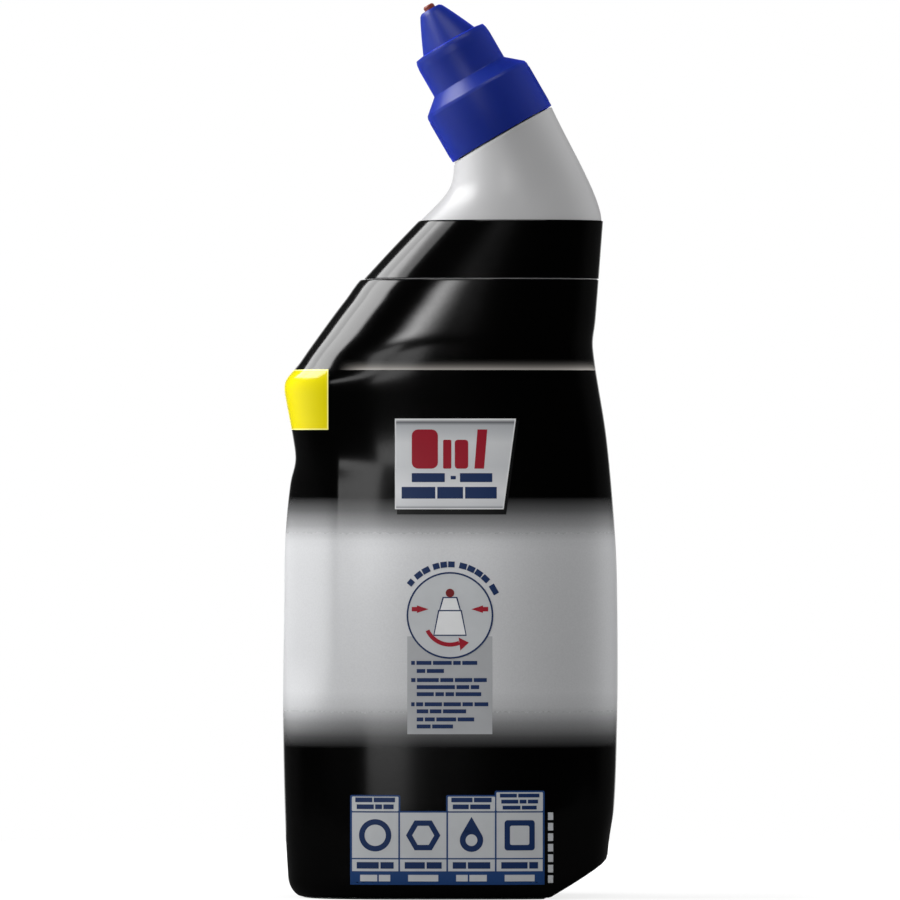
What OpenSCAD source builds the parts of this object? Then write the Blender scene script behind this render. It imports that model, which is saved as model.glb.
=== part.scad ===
// Toilet cleaner bottle: a hollow blow-moulded bottle with an angled neck, two film sleeves,
// an inner fitment with a closing pin, and a twist nozzle cap that rises as it is turned.
// Z is up, X is to the right as the back label is read, and the origin is the middle of the base.

/* [Body] */
// Height of the level line where the bare neck begins
crown_z = 197.9; // [194:0.1:202]
// Reach of the crown to the left of the centre line
crown_left = 8.8; // [6:0.1:12]
// Reach of the crown to the right of the centre line
crown_right = 44.3; // [42:0.1:47]
// Depth of the crown from front to back
crown_depth = 40; // [37:0.5:46]
// How much more the depth draws in above the fold where the two sleeves meet
shoulder_fold = 2.6; // [0:0.1:4]
// Reach of the belly to the left
belly_left = 48.5; // [46:0.1:52]
// Reach of the belly to the right
belly_right = 48.4; // [46:0.1:52]
// Depth of the belly from front to back
belly_depth = 52; // [47:0.5:58]
// Height at which the belly is first at its widest
belly_z = 54; // [48:0.5:64]
// Height at which the belly starts to draw in
belly_top_z = 86; // [80:0.5:94]
// How far each side draws in from the belly to the base
foot_draw = 1.9; // [1:0.1:3]
// Reach to the left at the finger grip
grip_left = 44.9; // [43:0.1:47]
// Height of the finger grip
grip_z = 127.6; // [124:0.1:131]
// Depth of the body at the finger grip
grip_depth = 47.4; // [45:0.1:53]
// Share of the local depth that the scooped panel beside the grip takes off
grip_scoop = 0.3; // [0.1:0.01:0.4]
// Height of the scooped panel's lower end
scoop_z = 46; // [40:0.5:56]
// Distance of the scooped panel's upper end below the shoulder corner
scoop_drop = 12; // [9:0.5:15]
// Height over which each end of the scooped panel fades out
scoop_fade = 25; // [18:0.5:32]
// Distance of the scooped panel's crease from the centre line
crease_x = 32; // [29:0.5:36]
// Reach of the left shoulder corner
corner_left = 48.2; // [46:0.1:51]
// Height of the left shoulder corner
corner_z = 149.2; // [146:0.1:152]
// How far the corner's rounding reaches in
corner_cut = 3.9; // [3:0.1:5]
// Height of the corner's rounding
corner_rise = 6.2; // [5:0.1:8]
// Height of the ridge above which the shoulder draws in from front to back
ridge_z = 160.5; // [156:0.1:164]
// Height over which the ridge is rounded
ridge_h = 6; // [3:0.1:9]
// Depth of the body at the ridge
ridge_depth = 50.2; // [46:0.1:52]
// Reach of the right waist
waist_right = 41.3; // [39:0.1:44]
// Height of the right waist
waist_z = 161; // [157:0.5:165]
// Thickness of the bottle's wall
wall = 1.1; // [0.8:0.05:1.6]

/* [Base] */
// Width of the rounded heel
heel_w = 4.6; // [3:0.1:6]
// Height of the rounded heel
heel_h = 6; // [4:0.1:8]
// Where the slanted cut under the right side meets the base
cut_x = 27.2; // [22:0.1:32]
// Angle of the slanted cut above the base
cut_angle = 31; // [27:0.5:36]
// Rounding of the slanted cut's edge
cut_round = 2.6; // [1:0.1:4]
// Width of the foot that the bottle stands on
foot_w = 5; // [3:0.1:8]
// Height of the hollow inside the foot
push_up = 2.4; // [1:0.1:4]

/* [Neck] */
// Lean of the neck to the left
neck_tilt = 30; // [26:0.5:34]
// Place of the cap's lower edge on the neck's line, to the right
neck_x = 15.2; // [13:0.1:17]
// Height of the cap's lower edge on the neck's line
neck_z = 223.4; // [221:0.1:227]
// How far the straight slope runs on into the left elbow of the neck
elbow_pull = 7.4; // [6:0.1:9]
// How far the upright side runs on into the right bend of the neck
bend_pull = 7; // [5:0.1:9]
// Radius of the neck just under the cap
root_r = 16.5; // [16:0.1:17.5]
// Gap between the neck's shoulder and the cap's lower edge
root_gap = 0.35; // [0.3:0.05:1]
// Radius of the bore in the mouth
bore_r = 11; // [10.5:0.1:11.5]
// Wall of the mouth
mouth_wall = 2; // [1.6:0.1:2.2]
// Height of the mouth above the cap's lower edge
mouth_h = 13; // [12.5:0.1:13.5]

/* [Thread] */
// Rise of the cap in a whole turn
thread_lead = 10.8; // [9:0.1:12]
// Number of thread ridges
thread_starts = 3; // [2:1:3]
// Arc of each thread ridge in degrees
thread_arc = 70; // [50:1:85]
// Height of a thread ridge at its root
thread_h = 1.1; // [0.8:0.05:1.3]
// Height of the neck's thread above the cap's lower edge
thread_z = 7.6; // [7:0.1:8.4]
// Turn of the cap from shut to open in degrees
open_turn = 100; // [80:1:110]
// Arc of a stop lug in degrees
lug_arc = 14; // [8:1:20]
// Height of a stop lug
lug_h = 3; // [2:0.1:3.6]

/* [Cap] */
// Radius of the cap's skirt
skirt_r = 16.7; // [16.4:0.1:18]
// Height of the cap's skirt
skirt_h = 14.9; // [14.6:0.1:16]
// Wall of the cap
cap_wall = 1.5; // [1.1:0.05:1.8]
// Radius of the collar over the shoulder
collar_r = 11.8; // [11.5:0.1:12.2]
// Height of the collar's lower end
collar_z = 19.3; // [18.9:0.1:20]
// Height of the collar's flat top
collar_top = 30.9; // [30.5:0.1:32]
// Radius of the nozzle at its base
nozzle_r = 8.8; // [8.4:0.1:9.2]
// Radius of the nozzle at its tip
tip_r = 3.3; // [3:0.1:3.8]
// Height of the nozzle's tip
tip_z = 42.2; // [41.6:0.1:43.4]
// Length of the narrow outlet in the tip
outlet_h = 1.2; // [0.8:0.1:1.6]

/* [Fitment] */
// Radius of the pin that closes the outlet
pin_r = 1.67; // [1.4:0.01:2]
// How far the pin stands out of the outlet when shut
pin_show = 1.4; // [1:0.1:2]
// Radius of the fitment's tower
tower_r = 8.9; // [8.6:0.1:9.1]
// Wall of the fitment
fitment_wall = 1.25; // [1:0.05:1.5]
// Length of the plug inside the mouth
plug_h = 9; // [6:0.1:10.5]
// Number of spokes that hold the pin
spokes = 3; // [3:1:5]
// Width of a spoke
spoke_w = 1.4; // [1:0.1:2]
// Height of the pin's thick hub, from the top of the tower down
hub_h = 4.4; // [3.8:0.1:6]
// Height of a spoke
spoke_h = 2.2; // [1.6:0.1:3]
// Height of the seal ring
seal_h = 2.9; // [2:0.1:3.2]

/* [Film] */
// Thickness of the film sleeves
film = 0.4; // [0.3:0.05:0.6]
// Height of the main sleeve's top edge
sleeve_top = 180.6; // [178:0.1:184]
// Height of the main sleeve's bottom edge
sleeve_bottom = 0.5; // [0.4:0.1:1.5]
// How far the main sleeve's top edge stands off at the left
flare = 0.9; // [0.4:0.1:1.2]
// Height over which the sleeve's top edge flares
flare_h = 6; // [4:0.5:9]
// Gap between the two sleeves
sleeve_split = 0.3; // [0.2:0.1:0.8]

/* [Fits] */
// Clearance of a running fit
run_fit = 0.05; // [0.02:0.01:0.1]
// Clearance between parts that move past each other
clear = 0.3; // [0.2:0.05:0.4]
// Clearance of the film on the bottle
film_fit = 0.1; // [0.05:0.05:0.2]

/* [Hidden] */
$fn = 96;
// Points round each section of the bottle
seg = 40;

// Radii of the closure, each worked out from the one inside it
mouth_r = bore_r + mouth_wall;
skirt_in = skirt_r - cap_wall;
neck_thread_r = skirt_in - clear - 0.2;
cap_thread_r = mouth_r + clear + 0.2;
lug_split = (mouth_r + skirt_in) / 2 + 0.55;
collar_in = collar_r - cap_wall;
lip_r = tower_r + clear + 0.1;
seal_z = collar_z + 1.75;
seal_out = collar_in - 0.1;
plug_r = bore_r - run_fit;
flange_r = mouth_r - 0.2;
flange_h = 1.1;
tower_top = collar_top - cap_wall - clear - 0.5;
outlet_r = pin_r + run_fit;
pin_top = tip_z + pin_show;
pitch = thread_lead / thread_starts;
open_rise = thread_lead * open_turn / 360;

function mix(a, b, u) = a + (b - a) * u;
function unit(u) = max(0, min(1, u));
function ease(u) = u * u * (3 - 2 * u);
function power(u, p) = sign(u) * pow(abs(u), p);

function sorted(v) =
  len(v) < 2 ? v : let (rest = [for (i = [1:len(v) - 1]) v[i]])
  concat(sorted([for (x = rest) if (x < v[0]) x]), v[0], sorted([for (x = rest) if (x >= v[0]) x]));

// Smaller of two values, with the corner between them rounded over the width k
function soft_min(a, b, k) = min(a, b) - pow(max(k - abs(a - b), 0), 2) / (4 * k);

// Slope of the curve through the points p at point i
function slope(p, i) =
  let (a = max(i - 1, 0), b = min(i + 1, len(p) - 1))
  (p[b][1] - p[a][1]) / (p[b][0] - p[a][0]);

function span(p, z, i = 0) = i >= len(p) - 2 || z < p[i + 1][0] ? i : span(p, z, i + 1);

// Smooth curve through points [height, value], read at the height z
function curve(p, z) =
  let (i = span(p, z), h = p[i + 1][0] - p[i][0], u = unit((z - p[i][0]) / h))
  mix(p[i][1], p[i + 1][1], ease(u))
  + h * u * (1 - u) * ((1 - u) * slope(p, i) - u * slope(p, i + 1));

function bezier(p, u) =
  pow(1 - u, 3) * p[0] + 3 * u * pow(1 - u, 2) * p[1] + 3 * u * u * (1 - u) * p[2] + pow(u, 3) * p[3];

// Reach of each side against height, as [height, reach]
slope_z = corner_z + corner_rise;
slope_x = corner_left - corner_cut;
left_line = [
  [0, belly_left - foot_draw],
  [belly_z * 0.4, belly_left - foot_draw * 0.35],
  [belly_z, belly_left],
  [belly_top_z, belly_left - 0.4],
  [mix(belly_top_z, grip_z, 0.45), mix(belly_left, grip_left, 0.18)],
  [mix(belly_top_z, grip_z, 0.85), mix(belly_left, grip_left, 0.6)],
  [grip_z, grip_left],
  [mix(grip_z, corner_z, 0.28), mix(grip_left, corner_left, 0.18)],
  [mix(grip_z, corner_z, 0.82), mix(grip_left, corner_left, 0.84)],
  [corner_z, corner_left],
  [mix(corner_z, slope_z, 0.42), mix(corner_left, slope_x, 0.18)],
  [slope_z, slope_x],
  [mix(slope_z, crown_z, 0.12), mix(slope_x, crown_left, 0.1)],
  [mix(slope_z, crown_z, 0.45), mix(slope_x, crown_left, 0.39)],
  [mix(slope_z, crown_z, 0.6), mix(slope_x, crown_left, 0.55)],
  [mix(slope_z, crown_z, 0.8), mix(slope_x, crown_left, 0.77)],
  [crown_z, crown_left]];
right_line = [
  [0, belly_right - foot_draw * 2],
  [belly_z * 0.3, belly_right - foot_draw * 1.3],
  [belly_z * 0.5, belly_right - foot_draw * 0.45],
  [belly_z, belly_right],
  [belly_top_z, belly_right],
  [mix(belly_top_z, waist_z, 0.25), mix(belly_right, waist_right, 0.08)],
  [mix(belly_top_z, waist_z, 0.64), mix(belly_right, waist_right, 0.43)],
  [waist_z, waist_right],
  [mix(waist_z, crown_z, 0.2), mix(waist_right, crown_right, 0.25)],
  [crown_z, crown_right]];
depth_line = [
  [0, belly_depth - foot_draw],
  [belly_z * 0.5, belly_depth],
  [belly_top_z, belly_depth],
  [grip_z, grip_depth],
  [ridge_z - ridge_h / 2, ridge_depth],
  [ridge_z + ridge_h / 2, ridge_depth],
  [crown_z, crown_depth + shoulder_fold]];
// Squareness of the section against height: 2 is an ellipse, and more is squarer
power_line = [[0, 3.2], [belly_top_z, 3.2], [corner_z, 2.9], [crown_z, 2.4]];

// Middle of the neck at the height t above the cap's lower edge, as [x, z]
function neck_at(t) = [neck_x - t * sin(neck_tilt), neck_z + t * cos(neck_tilt)];
neck_across = [cos(neck_tilt), sin(neck_tilt)];
root_left = neck_at(-root_gap) - root_r * neck_across;
root_right = neck_at(-root_gap) + root_r * neck_across;
// Curves of the neck's two sides, from the crown to the root
left_bend = [
  [-crown_left, crown_z],
  [-crown_left, crown_z] + elbow_pull * [1, 1],
  root_left - [0, elbow_pull * 1.1],
  root_left];
right_bend = [
  [crown_right, crown_z],
  [crown_right, crown_z + bend_pull],
  root_right + bend_pull * [0.6, -1.35],
  root_right];

// A section is [left end, right end, depth, squareness, strength of the scoop]
function heel_in(z) =
  z >= heel_h ? 0 : heel_w * (1 - sqrt(1 - pow(1 - z / heel_h, 2)));
function scoop_at(z) =
  ease(unit((corner_z - scoop_drop - z) / scoop_fade)) * ease(unit((z - scoop_z) / scoop_fade));
function fold_at(z) = shoulder_fold * unit((z - sleeve_top) / (crown_z - sleeve_top));
function section(z) =
  let (in = heel_in(z))
  [
    [in - curve(left_line, z), z],
    [curve(right_line, z) - in, z],
    curve(depth_line, z) - 2 * in - fold_at(z),
    curve(power_line, z),
    scoop_at(z)];
function neck_section(u) = [
  bezier(left_bend, u),
  bezier(right_bend, u),
  mix(crown_depth, 2 * root_r, u * (2 - u)),
  mix(2.4, 2, u),
  0];

// Reach of the slanted cut at the height z for a surface set out by the distance out
function cut_reach(z, out) = cut_x + z / tan(cut_angle) + out / sin(cut_angle);

// Points round one section, set out by the distance out, and by stand more at the left
function ring(s, out, stand = 0) =
  let (
    half = (s[1] - s[0]) / 2,
    mid = (s[0] + s[1]) / 2,
    inner_edge = -s[0][0] - crease_x)
  [for (i = [0:seg - 1])
    let (
      c = cos(360 * i / seg),
      d = sin(360 * i / seg),
      set = out + stand * pow((1 - c) / 2, 6),
      across = power(c, 2 / s[3]),
      flat = mid + across * (half + set * half / norm(half)),
      inward = ease(unit((-mid[0] - across * half[0] - crease_x) / inner_edge)),
      v = (s[2] / 2 * (1 - grip_scoop * s[4] * inward) + set) * power(d, 2 / s[3]))
    [soft_min(flat[0], cut_reach(flat[1], out), cut_round), v, flat[1]]];

// Circle about the neck's line with the radius r at the height t, with the same number of points
function neck_circle(r, t) =
  let (mid = neck_at(t))
  [for (i = [0:seg - 1])
    let (c = cos(360 * i / seg), d = sin(360 * i / seg))
    [mid[0] + r * c * neck_across[0], r * d, mid[1] + r * c * neck_across[1]]];

function centre(r) = [for (k = [0:2]) [for (p = r) p[k]] * [for (p = r) 1]] / len(r);

// Skin over a list of rings, closed by a fan at both ends, or joined end to end. Each four-sided
// field is split along the same diagonal whether the rings rise or fall, so that two skins nest.
module skin(rings, loop = false) {
  n = len(rings);
  points = concat([for (r = rings) each r], loop ? [] : [centre(rings[0]), centre(rings[n - 1])]);
  sides = [
    for (j = [0:n - (loop ? 1 : 2)], i = [0:seg - 1])
      let (
        a = j * seg,
        b = (j + 1) % n * seg,
        k = (i + 1) % seg,
        rising = rings[(j + 1) % n][0][2] > rings[j][0][2])
      each rising
        ? [[a + i, b + i, b + k], [a + i, b + k, a + k]]
        : [[a + i, b + i, a + k], [b + i, b + k, a + k]]];
  ends = loop ? [] : [
    for (i = [0:seg - 1])
      let (k = (i + 1) % seg, last = (n - 1) * seg)
      each [[n * seg, i, k], [n * seg + 1, last + k, last + i]]];
  polyhedron(points = points, faces = concat(sides, ends));
}

// Heights of the sections up the body
heel_steps = [for (k = [0, 0.08, 0.22, 0.42, 0.68]) k * heel_h];
body_steps = [
  heel_h, 9.5, 13, 17, 23, 34, belly_z, 70, belly_top_z, 97, 106, 113, 119, 124,
  grip_z, 131, 136, 141, 145.5, corner_z, 152, slope_z, 168, 175, sleeve_top, 189,
  ridge_z - ridge_h / 2, ridge_z, ridge_z + ridge_h / 2];
levels = sorted(concat(heel_steps, body_steps));
neck_steps = [for (k = [0:7]) k / 8];

module bottle() {
  outside = concat(
    [
      ring(section(0), -foot_w - 2) + lift(push_up),
      ring(section(0), -foot_w)],
    [for (z = levels) ring(section(z), 0)],
    [for (u = neck_steps) ring(neck_section(u), 0)],
    [neck_circle(root_r, -root_gap), neck_circle(bore_r + 0.6, -root_gap)]);
  inside = concat(
    [
      neck_circle(bore_r + 0.6, -root_gap - wall),
      neck_circle(root_r - wall, -root_gap - wall - 0.5)],
    [for (k = [1:7]) ring(neck_section(neck_steps[8 - k]), -wall)],
    [for (k = [1:len(levels) - 1]) ring(section(levels[len(levels) - k]), -wall)],
    [
      ring(section(0), -wall) + lift(wall),
      ring(section(0), -foot_w) + lift(wall),
      ring(section(0), -foot_w - 2) + lift(push_up + wall)]);
  color("silver") {
    skin(concat(outside, inside));
    on_neck() mouth();
  }
}

// The same shift for each point of a ring
function lift(h) = [for (i = [0:seg - 1]) [0, 0, h]];

module on_neck() {
  translate([neck_x, 0, neck_z]) rotate([0, -neck_tilt, 0]) children();
}

// Mouth of the bottle, with its thread ridges and the two lugs that stop the cap
module mouth() {
  rotate_extrude()
    polygon([
      [bore_r, -root_gap - wall * 0.6],
      [mouth_r, -root_gap - wall * 0.6],
      [mouth_r, mouth_h - 0.6],
      [mouth_r - 0.6, mouth_h],
      [bore_r, mouth_h]]);
  ridges(mouth_r - 0.4, neck_thread_r, thread_z);
  for (a = [90, 270]) lug(mouth_r - 0.4, lug_split - clear / 2, a, root_gap);
}

// Helical ridges that stand from one radius to another, with run-out ends
module ridges(root, tip, z) {
  steps = 7;
  for (k = [0:thread_starts - 1])
    rotate([0, 0, 360 * k / thread_starts])
      ridge([for (j = [0:steps]) let (u = j / steps)
        [thread_arc * u, z + thread_lead * thread_arc * u / 360,
          mix(root, tip, 0.35 + 0.65 * min(1, 4 * u, 4 * (1 - u)))]], root);
}

// One ridge along stations [angle, height, tip radius]
module ridge(stations, root) {
  n = len(stations);
  half = thread_h / 2;
  points = [for (s = stations)
    each [for (q = [[root, -half], [s[2], -half / 2], [s[2], half / 2], [root, half]])
      [q[0] * cos(s[0]), q[0] * sin(s[0]), s[1] + q[1]]]];
  sides = [for (j = [0:n - 2], i = [0:3])
    let (a = 4 * j, k = (i + 1) % 4)
    each [[a + i, a + 4 + i, a + 4 + k], [a + i, a + 4 + k, a + k]]];
  last = 4 * (n - 1);
  ends = [[0, 1, 2, 3], [last + 3, last + 2, last + 1, last]];
  polyhedron(points = points, faces = concat(sides, ends));
}

// Part of a ring between two radii, centred on the angle a
module lug(inner, outer, a, z) {
  rotate([0, 0, a - lug_arc / 2])
    rotate_extrude(angle = lug_arc)
      translate([inner, z]) square([outer - inner, lug_h]);
}

// Plug in the mouth, its flange, the tower that the cap slides on, and the pin on its spokes
module plug_fitment() {
  color("firebrick") on_neck() {
    rotate_extrude()
      polygon([
        [plug_r - fitment_wall, mouth_h - plug_h],
        [plug_r, mouth_h - plug_h],
        [plug_r, mouth_h],
        [flange_r, mouth_h],
        [flange_r, mouth_h + flange_h],
        [tower_r, mouth_h + flange_h],
        [tower_r, tower_top],
        [tower_r - fitment_wall, tower_top],
        [tower_r - fitment_wall, mouth_h],
        [plug_r - fitment_wall, mouth_h - 1.2]]);
    pin();
    for (k = [0:spokes - 1])
      rotate([0, 0, 90 + 360 * k / spokes])
        translate([pin_r / 2, -spoke_w / 2, tower_top - hub_h * 0.8])
          cube([tower_r - fitment_wall / 2 - pin_r / 2, spoke_w, spoke_h]);
  }
}

module pin() {
  foot_r = pin_r + 0.8;
  rotate_extrude()
    polygon([
      [0, tower_top - hub_h],
      [foot_r, tower_top - hub_h],
      [foot_r, tower_top],
      [pin_r, tip_z - 3.4],
      [pin_r, pin_top - 0.4],
      [pin_r - 0.4, pin_top],
      [0, pin_top]]);
}

// Ring that seals the cap on the tower and rises with the cap
module seal_ring() {
  inner = tower_r + run_fit;
  outer = seal_out - run_fit;
  low = seal_z + run_fit;
  edge = 0.3;
  color("dimgray") on_neck()
    rotate_extrude()
      polygon([
        [inner + edge, low],
        [outer, low],
        [outer, low + seal_h],
        [inner + edge, low + seal_h],
        [inner, low + seal_h - edge],
        [inner, low + edge]]);
}

// Radius of the nozzle at the height z, slightly bulging between its base and its tip
function nozzle_at(z) =
  let (u = (z - collar_top) / (tip_z - collar_top)) mix(tip_r, nozzle_r, pow(1 - u, 0.91));

module nozzle_cap() {
  steps = 8;
  tip_low = tip_z - 0.6;
  seal_top = seal_z + seal_h + 2 * run_fit;
  outside = concat(
    [
      [skirt_r, 0],
      [skirt_r, skirt_h - 0.4],
      [skirt_r - 0.35, skirt_h + 0.5],
      [collar_r, collar_z],
      [collar_r, collar_top - 3],
      [collar_r - 0.2, collar_top - 1.2],
      [collar_r - 0.6, collar_top]],
    [for (k = [0:steps]) let (z = mix(collar_top, tip_low, k / steps)) [nozzle_at(z), z]],
    [[tip_r - 0.4, tip_z]]);
  throat_z = tip_z - outlet_h;
  inside = concat(
    [[outlet_r, tip_z], [outlet_r, throat_z]],
    [for (k = [0:3])
      let (z = mix(throat_z - 1.8, collar_top + 0.4, k / 3)) [nozzle_at(z) - cap_wall, z]],
    [
      [nozzle_r - cap_wall, collar_top - cap_wall],
      [collar_in, collar_top - cap_wall],
      [collar_in, seal_top + 0.8],
      [lip_r, seal_top + 0.6],
      [lip_r, seal_top],
      [seal_out, seal_top],
      [seal_out, seal_z],
      [lip_r, seal_z],
      [lip_r, seal_z - 0.6],
      [collar_in, seal_z - 0.8],
      [collar_in, collar_z - 0.7],
      [skirt_in, skirt_h - 0.8],
      [skirt_in, 0]]);
  color("mediumblue") on_neck() {
    rotate_extrude() polygon(concat(outside, inside));
    ridges(skirt_in + 0.4, cap_thread_r, thread_z - pitch / 2);
    for (a = [90, 270]) lug(lug_split + clear / 2, skirt_in + 0.4, a - lug_arc * 1.4, root_gap + 0.6);
  }
}

// Film tube between two heights, with its top edge standing off at the left by stand
module film_tube(low, high, stand) {
  steps = concat(low, [for (z = levels) if (z > low + 0.2 && z < high - 0.2) z], high);
  function stand_at(z) = stand * ease(unit((z - high + flare_h) / flare_h));
  outer = [for (z = steps) ring(section(z), film_fit + film, stand_at(z))];
  inner = [for (k = [1:len(steps)]) let (z = steps[len(steps) - k])
    ring(section(z), film_fit, stand_at(z))];
  skin(concat(outer, inner), loop = true);
}

module shoulder_band() {
  color([0.05, 0.05, 0.055]) film_tube(sleeve_top + sleeve_split, crown_z, 0);
}

module sleeve_label() {
  color([0.12, 0.12, 0.13]) film_tube(sleeve_bottom, sleeve_top, flare);
}

bottle();
plug_fitment();
seal_ring();
nozzle_cap();
shoulder_band();
sleeve_label();
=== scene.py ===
"""Toilet cleaner bottle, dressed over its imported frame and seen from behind.

Sizes in the classes are in millimetres, in the part's own frame, and each mesh is made in metres.
Z is up, X is to the right as the back label is read, and the back label faces -Y.
"""
import logging
import math
from dataclasses import dataclass, field
from enum import Enum
from typing import Iterable, Optional, Sequence

import bmesh
import bpy
import numpy as np
from mathutils import Matrix, Vector


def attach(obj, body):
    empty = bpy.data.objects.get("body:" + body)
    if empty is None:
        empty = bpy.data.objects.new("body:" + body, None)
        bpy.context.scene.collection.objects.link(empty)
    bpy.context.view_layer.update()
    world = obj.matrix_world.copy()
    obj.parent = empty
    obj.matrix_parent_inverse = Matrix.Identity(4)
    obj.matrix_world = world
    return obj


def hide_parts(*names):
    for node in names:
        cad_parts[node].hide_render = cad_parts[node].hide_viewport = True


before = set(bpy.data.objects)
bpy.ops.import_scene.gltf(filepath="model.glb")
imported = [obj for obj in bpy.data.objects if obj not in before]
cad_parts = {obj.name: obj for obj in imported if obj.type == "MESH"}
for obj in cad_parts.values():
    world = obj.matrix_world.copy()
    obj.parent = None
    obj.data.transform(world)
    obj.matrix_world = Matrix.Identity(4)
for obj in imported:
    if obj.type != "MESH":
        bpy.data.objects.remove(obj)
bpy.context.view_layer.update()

MM = 0.001
PIXEL_MM = 0.293
CENTRE_PX = (450.3, 896.5)
SHEEN_ROUGHNESS = 0.35
SCATTER = 0.4
SCATTER_RADII = (0.15, 0.3, 1.0)
PURE = (1, 1, 1, 1)
LOG = logging.getLogger("cleaner_bottle")

Point = tuple[float, float]
Tree = bpy.types.NodeTree
Socket = bpy.types.NodeSocket
Mesh = bpy.types.Mesh
Material = bpy.types.Material


def linear(code: str) -> tuple[float, float, float, float]:
    """Turn an sRGB hex colour into Blender's linear one.

    Args:
        code: the colour as "#RRGGBB".

    Returns:
        Linear red, green and blue, and an alpha of 1.
    """
    parts = [int(code[i : i + 2], 16) / 255 for i in (1, 3, 5)]
    flat = [p / 12.92 if p <= 0.04045 else ((p + 0.055) / 1.055) ** 2.4 for p in parts]
    return flat[0], flat[1], flat[2], 1.0


def node(tree: Tree, kind: str, inputs: Optional[dict] = None, **settings) -> bpy.types.Node:
    """Add a node to a tree with its settings and links.

    Args:
        tree: the tree to add to.
        kind: the node's type.
        inputs: values or output sockets, by the input's name or number.
        settings: properties of the node itself.

    Returns:
        The new node.
    """
    made = tree.nodes.new(kind)
    for key, value in settings.items():
        setattr(made, key, value)
    for key, value in (inputs or {}).items():
        if isinstance(value, Socket):
            tree.links.new(value, made.inputs[key])
        else:
            made.inputs[key].default_value = value
    return made


def calc(tree: Tree, operation: str, *values) -> Socket:
    """Add a Math node, and return the socket of its result."""
    return node(tree, "ShaderNodeMath", dict(enumerate(values)), operation=operation).outputs[0]


def remap(tree: Tree, value: Socket, span: Point, to: Point = (0.0, 1.0), **settings) -> Socket:
    """Add a Map Range node from one span to another, and return its socket."""
    ends = {"From Min": span[0], "From Max": span[1], "To Min": to[0], "To Max": to[1]}
    return node(tree, "ShaderNodeMapRange", {"Value": value, **ends}, **settings).outputs[0]


def mixed(tree: Tree, share, first, second, **settings) -> Socket:
    """Add a Mix node from a first colour, at a share of 0, to a second one, and return its socket."""
    colours = {"Factor": share, 6: first, 7: second}
    return node(tree, "ShaderNodeMix", colours, data_type="RGBA", **settings).outputs[2]


def noise(tree: Tree, spot: Socket, size_mm: float, detail: float) -> Socket:
    """Add a noise of a given size in millimetres, and return its socket."""
    size = {"Vector": spot, "Scale": 1000 / size_mm, "Detail": detail}
    return node(tree, "ShaderNodeTexNoise", size).outputs["Fac"]


def around(tree: Tree, angle: Socket, radius: Socket, height: Socket) -> Socket:
    """Socket of the place at an angle and a radius about the upright line, and at a height."""
    ends = [calc(tree, "MULTIPLY", calc(tree, kind, angle), radius) for kind in ("COSINE", "SINE")]
    return node(tree, "ShaderNodeCombineXYZ", {0: ends[0], 1: ends[1], 2: height}).outputs[0]


def ramp(tree: Tree, z: Socket, stops: Sequence[tuple[float, tuple]], spare: float) -> Socket:
    """Colour by height.

    Args:
        tree: the material's tree.
        z: the height in metres.
        stops: heights in millimetres with their colours.
        spare: how far past its end stops the ramp reaches, in millimetres.

    Returns:
        The colour's socket.
    """
    low, high = stops[0][0] - spare, stops[-1][0] + spare
    made = node(tree, "ShaderNodeValToRGB", {"Fac": remap(tree, z, (low * MM, high * MM))})
    elements = made.color_ramp.elements
    for _ in stops[2:]:
        elements.new(0.5)
    for element, (height, colour) in zip(elements, stops):
        element.position = (height - low) / (high - low)
        element.color = colour
    return made.outputs["Color"]


def ease(u: np.ndarray) -> np.ndarray:
    """Smooth step of values that are first held between 0 and 1."""
    u = np.clip(u, 0, 1)
    return u * u * (3 - 2 * u)


def mix(a: float, b: float, u: float) -> float:
    """Value a share u of the way from a to b."""
    return a + (b - a) * u


def between(start: Point, end: Point, shares: Sequence[Point]) -> list[Point]:
    """Points on the way from one to another, by their shares of its height and of its value."""
    return [(mix(start[0], end[0], u), mix(start[1], end[1], v)) for u, v in shares]


def at_px(x: float, y: float) -> Point:
    """Place across and height in millimetres of a pixel of the photograph."""
    return (x - CENTRE_PX[0]) * PIXEL_MM, (CENTRE_PX[1] - y) * PIXEL_MM


@dataclass(frozen=True)
class Curve:
    """Smooth line through points of height and value, with its bends softened a little."""

    points: tuple[Point, ...]
    soft: float = 1.2

    def raw(self, z: np.ndarray) -> np.ndarray:
        """Read the line before it is softened.

        Args:
            z: heights.

        Returns:
            The line's value at each height.
        """
        at = np.array([p[0] for p in self.points])
        value = np.array([p[1] for p in self.points])
        last = len(at) - 1
        low = np.maximum(np.arange(last + 1) - 1, 0)
        high = np.minimum(np.arange(last + 1) + 1, last)
        slope = (value[high] - value[low]) / (at[high] - at[low])
        i = np.clip(np.searchsorted(at, z, side="right") - 1, 0, last - 1)
        h = at[i + 1] - at[i]
        u = np.clip((z - at[i]) / h, 0, 1)
        bend = h * u * (1 - u) * ((1 - u) * slope[i] - u * slope[i + 1])
        over = z - np.clip(z, at[0], at[-1])
        return mix(value[i], value[i + 1], ease(u)) + bend + over * np.where(over > 0, slope[-1], slope[0])

    def at(self, z: np.ndarray) -> np.ndarray:
        """Read the line as the mean of five places round each height.

        Args:
            z: heights.

        Returns:
            The softened value at each height.
        """
        z = np.asarray(z, float)
        return sum(self.raw(z + self.soft * k) for k in (-1, -0.5, 0, 0.5, 1)) / 5


@dataclass
class Sections:
    """Cross-sections of the bottle: the two ends as [x, z], and depth, squareness and scoop."""

    left: np.ndarray
    right: np.ndarray
    depth: np.ndarray
    power: np.ndarray
    scoop: np.ndarray


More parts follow.
